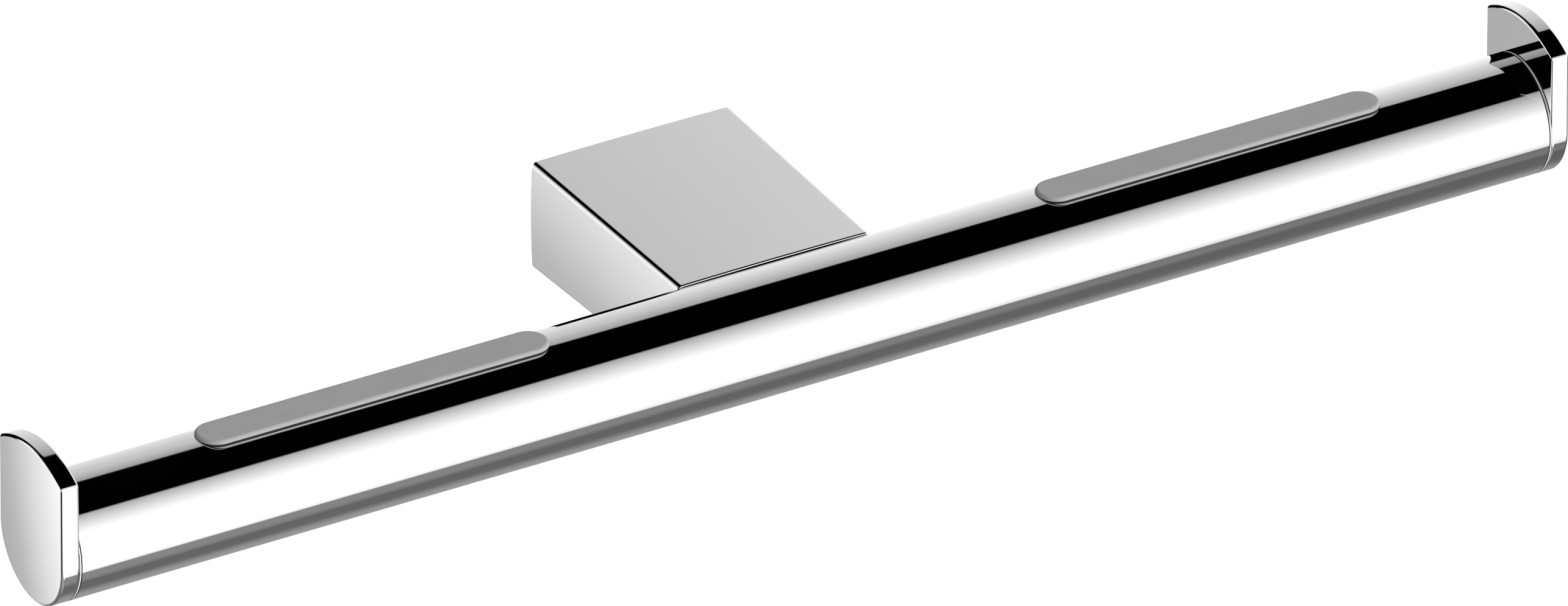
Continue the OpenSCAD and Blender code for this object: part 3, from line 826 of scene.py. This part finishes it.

# %% [markdown]
# ## The pads
#
# A pad is a strip of soft rubber. Its cap lies on the top of the tube, with a flat face and a generous
# rounding. Since the tube falls away to both sides, a groove shows under the cap along the pad's flanks,
# and below it the lip that fills the slot. The groove's faces wear the dark nylon as painted shade: it
# stands for the shadow under the cap. Inside the tube a wider flange keeps the pad from being pulled
# out. All of it is one stadium, whose half circles only change their radius from level to level. Levels
# are heights above the bar's axis.

# %% The pads' levels
PAD_EDGE_R = 0.84 * MM
FLANGE_TOP = 10.2 * MM
LIP_TOP = 13.4 * MM
GROOVE = 1.5 * MM
CAP_LOW = TUBE_R + 0.01 * MM
CAP_TOP = TUBE_R + 0.87 * MM
CAP_SLIM = 0.075 * MM
CAP_OVER = 0.15 * MM


def widen(bm, loop, straight, extra, longer=0.0):
    """Grows a stadium loop sideways.

    The radius of its half circles gains extra, and each of them moves outwards by longer.
    """
    loop = grow(bm, loop)
    for v in {v for edge in loop for v in edge.verts}:
        centre = max(-straight, min(straight, v.co.x))
        out = Vector((v.co.x - centre, v.co.y, 0))
        v.co += out.normalized() * extra if out.length > 0 else out
        v.co.x += math.copysign(longer, v.co.x)
    return loop


print(f"pads: {PAD_LEN / MM:.1f} x {PAD_W / MM:.1f} mm, their tops {CAP_TOP / MM:.2f} mm above the axis")

# %% [markdown]
# Each pad is drawn from its flange upwards: a loop grows in height, then sideways, and so on up to the
# cap. The cap's face gets its hair-thin support loop from inset, which draws a face in on itself.

# %% The grip pads
def grip_pad(name, side):
    """One pad, from the underside of its flange to the top of its cap."""
    bm = bmesh.new()
    straight = (PAD_LEN - PAD_W) / 2
    bottom = PAD_SEAT - AXIS.z
    loop = stadium(bm, PAD_LEN + 2 * FLANGE, PAD_W + 2 * FLANGE, ROUND_STEPS)
    close(bm, loop)
    loop = grow(bm, loop, move=(0, 0, FLANGE_TOP - bottom))
    loop = widen(bm, loop, straight, -FLANGE)
    lip = grow(bm, loop, move=(0, 0, LIP_TOP - FLANGE_TOP))
    loop = widen(bm, lip, straight, -GROOVE)
    loop = grow(bm, loop, move=(0, 0, CAP_LOW - LIP_TOP))
    longer = CAP_OVER + CAP_SLIM
    loop = widen(bm, loop, straight, GROOVE - CAP_SLIM, longer)
    top = grow(bm, loop, move=(0, 0, CAP_TOP - CAP_LOW))
    close(bm, top)
    round_edges(bm, top, PAD_EDGE_R, segments=10)
    crown = max(bm.faces, key=lambda f: (round(f.calc_center_median().z, 6), f.calc_area()))
    bmesh.ops.inset_region(bm, faces=[crown], thickness=HAIR, use_even_offset=True)
    bmesh.ops.translate(bm, vec=(side * PAD_X, AXIS.y, PAD_SEAT), verts=bm.verts[:])
    return make_object(bm, name)


for word, side in SIDES.items():
    pad = grip_pad(word + "_pad", side)
    finish_piece(pad, pad_rubber, "pad_rubber", word + "_grip_pad")
    # The groove's faces under the cap wear the dark nylon as painted shade.
    pad.data.materials.append(nylon_and_groove_shade)
    for face in pad.data.polygons:
        if LIP_TOP - HAIR < face.center.z - AXIS.z < CAP_LOW + HAIR:
            face.material_index = 1

# %% [markdown]
# ## The sealing rings
#
# A ring is a round cord, squeezed flat between the plug's groove and the tube. A circle whose two sides
# are pressed in is turned about the bar's axis.

# %% The sealing rings
RING_D = 2 * MM
RING_SQUEEZE = 0.93
RING_GAP = 0.05 * MM


def plug_rings(name, node):
    """The two rings of one plug, in one piece."""
    low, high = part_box(node)
    outer = BORE_R - RING_GAP
    inner = BORE_R - RING_SQUEEZE * RING_D + RING_GAP
    bm = bmesh.new()
    for x in (low.x + RING_D / 2, high.x - RING_D / 2):
        ring = bmesh.ops.create_circle(bm, segments=32, radius=RING_D / 2)["verts"]
        bmesh.ops.translate(bm, vec=(x, (inner + outer) / 2, 0), verts=ring)
    for v in bm.verts:
        v.co.y = min(max(v.co.y, inner), outer)
    turned(bm, steps=72)
    bmesh.ops.translate(bm, vec=AXIS, verts=bm.verts[:])
    return make_object(bm, name)


for word in SIDES:
    rings = plug_rings(word + "_rings", word + "_plug_rings")
    finish_piece(rings, ring_rubber, "ring_rubber", word + "_plug_rings")

# %% [markdown]
# ## The screws
#
# A real thread is a ridge that climbs as it turns. spin can do just that: it moves what it turns by a
# little along the axis at every step. A small triangle so becomes the thread, and a turned profile the
# screw's body, with a hexagon socket cut into its head.

# %% Screws with threads
THREAD_STEPS = 20
THREAD_DEPTH = 0.5
THREAD_WIDTH = 0.8


def thread(bm, radius, pitch, start, length):
    """A helical ridge round the Z axis, from start up over length."""
    root, width = radius - pitch * THREAD_DEPTH, pitch * THREAD_WIDTH
    ridge = [(root, 0, start), (radius, 0, start + width / 2), (root, 0, start + width)]
    corners = [bm.verts.new(corner) for corner in ridge]
    first = bm.faces.new(corners)
    turns = (length - pitch) / pitch
    steps = round(turns * THREAD_STEPS)
    bmesh.ops.spin(
        bm, geom=[first] + first.edges[:] + corners, cent=(0, 0, 0), axis=Z_AXIS,
        dvec=(0, 0, pitch / THREAD_STEPS), angle=math.tau * steps / THREAD_STEPS, steps=steps
    )


def screw(name, profile, radius, pitch, threaded, socket):
    """A screw along Z, its tip at 0.

    profile has a (radius, height) for each corner from tip to top, threaded is where the thread starts
    and how long it is, and socket is the hexagon's lower end, upper end and radius.
    """
    bm = bmesh.new()
    tip = bm.verts.new((0, 0, profile[0][1]))
    for r, z in profile:
        tip = draw_line(bm, tip, (r, 0, z))
    draw_line(bm, tip, (0, 0, profile[-1][1]))
    turned(bm, steps=40, axis=Z_AXIS)
    thread(bm, radius, pitch, *threaded)
    made = make_object(bm, name)
    low, high, socket_r = socket
    combine(made, rod(socket_r, (0, 0, low), (0, 0, high), sides=6), "DIFFERENCE")
    return made


print("threads: a ridge", THREAD_DEPTH, "of the pitch deep,", THREAD_STEPS, "steps a turn")

# %% [markdown]
# Screws come in standard sizes, so a row of four numbers describes one: the radius of its thread, the
# radius and the height of its head, and its pitch. Both pairs of screws are made from such a row.

# %% Pairs of cap screws
COARSE = (CLAMP_R, 4.25 * MM, 5 * MM, 0.8 * MM)
FINE = (1.5 * MM, 2.75 * MM, 3 * MM, 0.5 * MM)
CORE_DEPTH = 0.45
CHAMFER = 0.2
SOCKET_R = 0.55
SOCKET_FLOOR = 0.45
PLATE_SCREW_Y = 6 * MM


def join(name, parts):
    """Joins several objects into one."""
    bm = bmesh.new()
    for part in parts:
        bm.from_mesh(part.data)
        bpy.data.meshes.remove(part.data)
    return make_object(bm, name)


def cap_screw(total, size, turn, place):
    """A socket head screw of a total length, turned, with its tip at place."""
    radius, head_r, head_h, pitch = size
    length = total - head_h
    core, c = radius - pitch * CORE_DEPTH, radius * CHAMFER
    profile = [
        (core - c, 0), (core, c), (core, length), (head_r, length), (head_r, length + head_h - c),
        (head_r - c, length + head_h)
    ]
    socket = (length + head_h * SOCKET_FLOOR, length + 2 * head_h, head_r * SOCKET_R)
    made = screw("screw", profile, radius, pitch, (c, length - 2 * c), socket)
    made.data.transform(Matrix.Translation(place) @ turn)
    return made


low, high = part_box("clamp_screws")
turn = Matrix.Rotation(math.radians(-90), 4, "X")
places = [(x, low.y, AXIS.z) for x in (-CLAMP_X, CLAMP_X)]
pair = join("clamp_screw_pair", [cap_screw(high.y - low.y, COARSE, turn, place) for place in places])
finish_piece(pair, stainless, "stainless_steel", "clamp_screws")

for word, side in SIDES.items():
    low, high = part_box(word + "_plate_screws")
    turn = Matrix.Rotation(math.radians(-90 * side), 4, "Y")
    tip_x = high.x if side > 0 else low.x
    places = [(tip_x, AXIS.y + y, AXIS.z) for y in (-PLATE_SCREW_Y, PLATE_SCREW_Y)]
    screws = [cap_screw(high.x - low.x, FINE, turn, place) for place in places]
    pair = join(word + "_plate_screw_pair", screws)
    finish_piece(pair, stainless, "stainless_steel", word + "_plate_screws")

# %% [markdown]
# The locking screw has no head. Its socket opens downwards, and its upper end is a cone that draws the
# arm against the wall.

# %% The locking screw
LOCK_PITCH = 0.8 * MM
LOCK_CHAMFER = 0.4 * MM
LOCK_CONE = 1.9 * MM
LOCK_POINT_R = 0.6 * MM
LOCK_SOCKET_R = 0.58 * LOCK_R

height = lock_high.z - lock_low.z
neck = height - LOCK_CONE
core = LOCK_R - LOCK_PITCH * CORE_DEPTH
profile = [(core - LOCK_CHAMFER, 0), (core, LOCK_CHAMFER), (core, neck), (LOCK_POINT_R, height)]
grub = screw("grub_screw", profile, LOCK_R, LOCK_PITCH, (0, neck), (-MM, LOCK_R, LOCK_SOCKET_R))
grub.data.transform(Matrix.Translation((0, LOCK_Y, lock_low.z)))
finish_piece(grub, stainless, "stainless_steel", "lock_screw")

# %% [markdown]
# ## The stage
#
# What stands round the holder isn't part of it: a floor, a studio to mirror and a lamp. A path tracer
# follows rays backwards from the camera, and a stage can answer each kind of ray in its own way. So its
# materials start from an empty tree of nodes and ask which kind of ray has arrived.

# %% Empty trees and kinds of rays
def bare_tree(owner):
    """Gives a material or the world an empty tree of nodes."""
    owner.use_nodes = True
    owner.node_tree.nodes.clear()
    return owner.node_tree


def kinds_of_ray(tree):
    """Two numbers: 1 for a ray from the camera, and 1 for a ray that a mirror or a glass sends on."""
    path = add_node(tree, "LightPath").outputs
    mirror = add_node(
        tree, "Math", {0: path["Is Glossy Ray"], 1: path["Is Transmission Ray"]}, operation="MAXIMUM"
    )
    return path["Is Camera Ray"], mirror.outputs[0]


# %% [markdown]
# ## The floor
#
# The holder hangs on a wall that isn't here, so the floor lies well below it. It is a pale sheet, wide
# enough to fill the view from any side. A little of its whiteness is for the camera alone: that way it
# reads as white, and still shows the holder's soft shadow. Mirrors look through it to the studio.

# %% The floor
FLOOR_DROP = 0.7
FLOOR_HALF = 20
FLOOR_GLOW = 0.35


def pale_floor():
    """A wide sheet under the object, seen by the camera from above only."""
    bm = bmesh.new()
    bmesh.ops.create_grid(bm, x_segments=8, y_segments=8, size=FLOOR_HALF)
    bmesh.ops.translate(bm, vec=(0, AXIS.y, -FLOOR_DROP), verts=bm.verts[:])
    mesh = bpy.data.meshes.new("floor")
    bm.to_mesh(mesh)
    bm.free()
    material = bpy.data.materials.new("Pale studio floor")
    tree = bare_tree(material)
    from_camera, from_mirror = kinds_of_ray(tree)
    sheet = add_node(tree, "BsdfDiffuse", {"Color": linear("#f4f4f4")}).outputs[0]
    glow = add_node(tree, "Emission", {"Color": (1, 1, 1, 1), "Strength": FLOOR_GLOW}).outputs[0]
    clear = add_node(tree, "BsdfTransparent").outputs[0]
    lit = add_node(tree, "AddShader", {0: sheet, 1: glow}).outputs[0]
    seen = add_node(tree, "MixShader", {0: from_camera, 1: sheet, 2: lit}).outputs[0]
    below = add_node(tree, "NewGeometry").outputs["Backfacing"]
    gone = add_node(tree, "Math", {0: from_mirror, 1: below}, operation="MAXIMUM").outputs[0]
    surface = add_node(tree, "MixShader", {0: gone, 1: seen, 2: clear}).outputs[0]
    add_node(tree, "OutputMaterial", {"Surface": surface})
    mesh.materials.append(material)
    floor = bpy.data.objects.new("floor", mesh)
    bpy.context.scene.collection.objects.link(floor)


pale_floor()
print("floor: a sheet", 2 * FLOOR_HALF, "m wide,", FLOOR_DROP, "m below the wall bracket's middle")

# %% [markdown]
# ## The studio that the chrome mirrors
#
# Chrome has no look of its own: what you see is the studio. A product photographer therefore builds the
# reflections out of white panels, grey card and black cloth. Here the world shader plays that studio,
# for mirror rays only. Everything in it runs along the bar, so its bands are set by one angle: how far
# round the X axis a ray points, from 0 towards the room over 90 straight up to 180 at the wall side, and
# -90 straight down. Each pair below is such an angle and the grey that stands there.
#
# These greys weren't designed freely. A separate script traced the mirror rays of a trial render and
# listed the photograph's middle grey in each direction. The bands were set after that list, and then
# adjusted by comparing renders.
#
# The whole tube mirrors only what lies to the right, because it never turns a ray's X direction. Its
# near end looks a little less far to the right than its far end, so each has bands of its own. Both have
# black cloth overhead, from about 59 to 120 degrees. It hangs askew: where a ray's X direction runs from
# SLANT_X[0] to SLANT_X[1], the place in the bands is shifted by SLANT[0] to SLANT[1] degrees, which moves
# the cloth's rear edge. The shift comes in over the angles of SLANT_IN, and fades between those of
# SLANT_OUT.

# %% The bands that the tube mirrors
NEAR_BANDS = [
    (-180, 215), (-167, 222), (-157, 250), (-150, 251), (-142, 209), (-138, 197), (-130, 150), (-120, 147),
    (-108, 144), (-96, 124), (-88, 100), (-70, 98), (-66, 117), (-60, 131), (-47.4, 132), (-46.2, 240),
    (-40, 255), (26, 255), (34, 240), (46, 210), (54, 186), (58.6, 169), (59.6, 0), (119.9, 0), (121, 152),
    (129, 169), (142.5, 190), (156, 198), (170, 208), (180, 215)
]
FAR_BANDS = [
    (-180, 238), (-167, 247), (-150, 246), (-142, 209), (-138, 197), (-130, 150), (-120, 147), (-108, 132),
    (-96, 110), (-88, 97), (-68, 92), (-63.5, 98), (-60, 115), (-52, 114), (-46.2, 102), (-45.0, 214),
    (-40, 237), (-36, 254), (18, 254), (30, 226), (46, 190), (58.6, 152), (60.4, 0), (119.6, 0), (121, 165),
    (129, 177), (140.5, 197), (148, 203), (153, 213), (163, 225), (180, 238)
]
SLANT_X = (0.413, 0.459)
SLANT = (-5.2, 3.05)
SLANT_IN = (90, 100.8)
SLANT_OUT = (180, 129.6)
print("the tube's bands:", len(NEAR_BANDS), "stops near and", len(FAR_BANDS), "far")

# %% [markdown]
# Roundings turn rays every way, so the panels on the left and at the two ends of the studio show only in
# thin lines: the light and dark edges that make a chromed part look solid. Behind the bar a black cloth
# hangs in the middle, with one light slit in it, which the right plate shows beside the tube's image.

# %% The bands that only edges mirror
LOW_LEFT = [
    (-150, 213), (-142, 170), (-135, 136), (-125, 116), (-115, 100), (-105, 100), (-85, 112), (-75, 135),
    (-65, 156), (-55, 152), (-46.6, 150), (-45.4, 240), (-36, 254), (20, 255), (60, 162), (61.5, 0)
]
LEFT_BANDS = [(-180, 239), (-170, 246), (-162, 243), (-154, 222)] + LOW_LEFT + [
    (149, 0), (151, 190), (162, 212), (174, 233), (180, 239)
]
SLIT_BANDS = [(-180, 0), (-153, 0)] + LOW_LEFT + [
    (131, 0), (132.5, 142), (154, 168), (155.5, 0), (180, 0)
]
BLACK_BANDS = [(-180, 0), (-153, 0)] + LOW_LEFT + [(180, 0)]
LEFT_END = [
    (-180, 215), (-138, 215), (-128, 60), (-120, 25), (-50, 25), (-40, 120), (-33, 185), (-20, 255),
    (60, 200), (61.5, 0), (160, 0), (170, 170), (180, 215)
]
RIGHT_END = [
    (-180, 235), (-140, 206), (-132, 40), (-60, 40), (-48, 255), (20, 255), (60, 240), (61.5, 230),
    (180, 235)
]
print("edges:", len(LEFT_BANDS), "stops to the left,", len(LEFT_END), "and", len(RIGHT_END), "at the ends")

# %% [markdown]
# A colour ramp turns an angle into a grey, with one stop for each pair. The panels follow each other from
# left to right: LEFT_END is the first, and each entry of PANELS says between which X directions a panel
# takes over from the one before it. The camera's own rays see plain white, and what is left, the rays that
# light matt surfaces, sees an even, weak grey.

# %% Panels and ramps
PANELS = [
    (-0.88, -0.7, LEFT_BANDS), (-0.53, -0.5, BLACK_BANDS), (-0.472, -0.47, SLIT_BANDS),
    (-0.452, -0.45, BLACK_BANDS), (0.07, 0.23, NEAR_BANDS), (0.41, 0.465, FAR_BANDS),
    (0.68, 0.82, RIGHT_END)
]
AMBIENT = 0.5
STUDIO_GAIN = 1.12


def part_of_circle(degrees):
    """Where an angle lies between -180 and 180 degrees, from 0 to 1."""
    return (degrees + 180) / 360


def grey_stops(pairs):
    """Stops for a colour ramp from pairs of a place and a grey between 0 and 255."""
    return [(place, linear("#" + 3 * f"{level:02x}")) for place, level in pairs]


def band_stops(bands):
    """Stops for a colour ramp from pairs of an angle and a grey."""
    return grey_stops([(part_of_circle(degrees), level) for degrees, level in bands])


print("panels:", 1 + len(PANELS))

# %% [markdown]
# The world's tree first works out a ray's angle and its slanted copy. A loop then lays one panel after
# the other over what is there, with a soft change between them, and the kind of ray decides at the end
# which of three backgrounds it meets.

# %% The world
def studio_world():
    """The world: white for the camera, the studio for mirrors, and an even grey for the rest."""
    world = bpy.data.worlds.new("studio")
    tree = bare_tree(world)
    from_camera, from_mirror = kinds_of_ray(tree)
    way = add_node(tree, "SeparateXYZ", {0: add_node(tree, "TexCoord").outputs["Generated"]}).outputs
    out = add_node(tree, "Math", {0: way["Y"], 1: -1.0}, operation="MULTIPLY").outputs[0]
    angle = add_node(tree, "Math", {0: way["Z"], 1: out}, operation="ARCTAN2").outputs[0]
    turn = add_node(
        tree, "MapRange", {"Value": angle, "From Min": -math.pi, "From Max": math.pi}
    ).outputs[0]
    weight = 1.0
    for edge in (SLANT_IN, SLANT_OUT):
        start, end = (part_of_circle(degrees) for degrees in edge)
        share = add_node(tree, "MapRange", {"Value": turn, "From Min": start, "From Max": end}).outputs[0]
        weight = add_node(tree, "Math", {0: share, 1: weight}, operation="MULTIPLY").outputs[0]
    askew = add_node(
        tree, "MapRange", {"Value": way["X"], "From Min": SLANT_X[0], "From Max": SLANT_X[1],
                           "To Min": SLANT[0] / 360, "To Max": SLANT[1] / 360}
    ).outputs[0]
    slanted = add_node(tree, "Math", {0: askew, 1: weight, 2: turn}, operation="MULTIPLY_ADD").outputs[0]
    panels = add_node(tree, "ValToRGB", {"Fac": turn}, stops=band_stops(LEFT_END)).outputs[0]
    for start, end, bands in PANELS:
        share = add_node(
            tree, "MapRange", {"Value": way["X"], "From Min": start, "From Max": end},
            interpolation_type="SMOOTHSTEP"
        ).outputs[0]
        place = slanted if bands in (NEAR_BANDS, FAR_BANDS) else turn
        panel = add_node(tree, "ValToRGB", {"Fac": place}, stops=band_stops(bands)).outputs[0]
        panels = add_node(tree, "Mix", {0: share, 6: panels, 7: panel}, data_type="RGBA").outputs[2]
    mirrored = add_node(tree, "Background", {"Color": panels, "Strength": STUDIO_GAIN}).outputs[0]
    ambient = add_node(tree, "Background", {"Color": (1, 1, 1, 1), "Strength": AMBIENT}).outputs[0]
    white = add_node(tree, "Background", {"Color": (1, 1, 1, 1), "Strength": 1.0}).outputs[0]
    lit = add_node(tree, "MixShader", {0: from_mirror, 1: ambient, 2: mirrored}).outputs[0]
    seen = add_node(tree, "MixShader", {0: from_camera, 1: lit, 2: white}).outputs[0]
    add_node(tree, "OutputWorld", {"Surface": seen})
    bpy.context.scene.world = world


studio_world()
print("world: gain", STUDIO_GAIN, "for mirrors and", AMBIENT, "for matt surfaces")

# %% [markdown]
# ## The grey card
#
# The flat faces at the side mirror one spot each: the left plate, the arm's left side and the inside of
# the right plate all look back and down past the wall. Something near enough to look different from each
# of them has to stand there, and the world is endlessly far away. So a graded grey card of its own stands
# 2.25 m behind the wall. It is an oval with a feathered rim, and only mirror rays see it. Its distance
# and slope come from a separate script's fit to the photograph's greys on those three faces.
#
# The grey runs over the card in one slanting slope. A dot product of a point with the direction of the
# slope says how far up it lies, and a colour ramp turns that into a grey. The oval comes from a length: in
# coordinates that are 1 at the card's edges, each point further than CARD_RIM from the middle is clear.

# %% The card's grey
CARD_MIDDLE = Vector((-1.43, 2.25, -1.5))
CARD_HALF = Vector((0.72, 1, 0.52))
CARD_SLOPE = (-152.8, 0, -60.5)
CARD_SLOPE_ENDS = (212.3, 362.3)
CARD_STOPS = [(0, 105), (0.2, 135), (0.4, 162), (0.58, 183), (0.76, 221), (1, 255)]
CARD_RIM = (0.84, 0.99)


def graded_grey(name):
    """A shining grey that runs over the card, and is clear outside its oval."""
    material = bpy.data.materials.new(name)
    tree = bare_tree(material)
    place = add_node(tree, "TexCoord").outputs["Object"]
    slope = add_node(tree, "VectorMath", {0: place, 1: CARD_SLOPE}, operation="DOT_PRODUCT")
    dark, light = CARD_SLOPE_ENDS
    level = add_node(
        tree, "MapRange", {"Value": slope.outputs["Value"], "From Min": dark, "From Max": light}
    ).outputs[0]
    grey = add_node(tree, "ValToRGB", {"Fac": level}, stops=grey_stops(CARD_STOPS)).outputs[0]
    shine = add_node(tree, "Emission", {"Color": grey, "Strength": STUDIO_GAIN}).outputs[0]
    off = add_node(tree, "VectorMath", {0: place, 1: CARD_MIDDLE}, operation="SUBTRACT").outputs[0]
    oval = add_node(tree, "VectorMath", {0: off, 1: CARD_HALF}, operation="DIVIDE").outputs[0]
    far_out = add_node(tree, "VectorMath", {0: oval}, operation="LENGTH").outputs["Value"]
    rim = add_node(
        tree, "MapRange", {"Value": far_out, "From Min": CARD_RIM[0], "From Max": CARD_RIM[1]},
        interpolation_type="SMOOTHSTEP"
    ).outputs[0]
    clear = add_node(tree, "BsdfTransparent").outputs[0]
    surface = add_node(tree, "MixShader", {0: rim, 1: shine, 2: clear}).outputs[0]
    add_node(tree, "OutputMaterial", {"Surface": surface})
    return material


card_grey = graded_grey("Graded grey card")
print("made", card_grey.name)

# %% [markdown]
# The card itself is one face across the Y axis. Left alone, it would show behind the holder, light it and
# throw a shadow, so it is hidden from the camera and from every kind of ray but a mirror's.

# %% The grey card
def grey_card():
    """One upright face behind the wall, for mirror rays only."""
    bm = bmesh.new()
    bmesh.ops.create_grid(bm, x_segments=1, y_segments=1, size=1)
    bmesh.ops.rotate(bm, matrix=Matrix.Rotation(math.radians(90), 3, "X"), verts=bm.verts[:])
    bmesh.ops.scale(bm, vec=CARD_HALF, verts=bm.verts[:])
    bmesh.ops.translate(bm, vec=CARD_MIDDLE, verts=bm.verts[:])
    card = make_object(bm, "grey_card")
    card.data.materials.append(card_grey)
    card.visible_camera = False
    card.visible_diffuse = False
    card.visible_transmission = False
    card.visible_shadow = False


grey_card()
print(f"grey card: {CARD_MIDDLE.y:.2f} m behind the wall")

# %% [markdown]
# ## The lamp
#
# The pads are matt, so they need a real lamp: one very wide, soft light, low in front and a little to the
# right. A sun's strength divided by pi is the share of a colour that it shows on a surface square to it,
# and the ambient grey adds the rest. On a pad's level top the two add up to 1, so that the top shows its
# colour as written, and the rounding towards the room is brighter. The chrome doesn't see the lamp.

# %% The lamp
SUN_WIDTH = 60
SUN_SHARE = 1.44
SUN_FROM = Vector((0.49, -0.80, 0.348))
sun = bpy.data.lights.new("front_panel", "SUN")
sun.energy = math.pi * SUN_SHARE
sun.angle = math.radians(SUN_WIDTH)
lamp = bpy.data.objects.new("front_panel", sun)
lamp.rotation_euler = SUN_FROM.to_track_quat("Z", "Y").to_euler()
lamp.visible_glossy = False
bpy.context.scene.collection.objects.link(lamp)
print("lamp:", SUN_WIDTH, "degrees wide")

# %% [markdown]
# ## The camera
#
# The photograph was taken from far away with a long lens, 30 degrees to the left of the bar and 30
# degrees above it. The camera's axes are worked out from these two angles and put into its matrix.

# %% The camera
CAMERA_TURN = math.radians(30.1628)
CAMERA_RISE = math.radians(29.9133)
CAMERA_DISTANCE = 6108.9 * MM
CAMERA_LENS = 645
AIM_RIGHT = -2.027 * MM
AIM_UP = 4.353 * MM

sin_turn, cos_turn = math.sin(CAMERA_TURN), math.cos(CAMERA_TURN)
sin_rise, cos_rise = math.sin(CAMERA_RISE), math.cos(CAMERA_RISE)
right = Vector((cos_turn, -sin_turn, 0))
up = Vector((sin_turn * sin_rise, cos_turn * sin_rise, cos_rise))
back = right.cross(up)
camera = bpy.data.objects.new("camera", bpy.data.cameras.new("camera"))
camera.data.lens = CAMERA_LENS
camera.data.sensor_width = 36
camera.data.clip_start, camera.data.clip_end = 0.1, 100
place = AXIS + right * AIM_RIGHT + up * AIM_UP + back * CAMERA_DISTANCE
camera.matrix_world = Matrix.Translation(place) @ Matrix((right, up, back)).transposed().to_4x4()
bpy.context.scene.collection.objects.link(camera)
bpy.context.scene.camera = camera
print(f"camera: {CAMERA_DISTANCE:.2f} m from the bar, lens {CAMERA_LENS} mm")

# %% [markdown]
# ## Showing the colours
#
# The colours are shown as they are, without a film look.

# %% Finish
bpy.context.scene.view_settings.view_transform = "Standard"
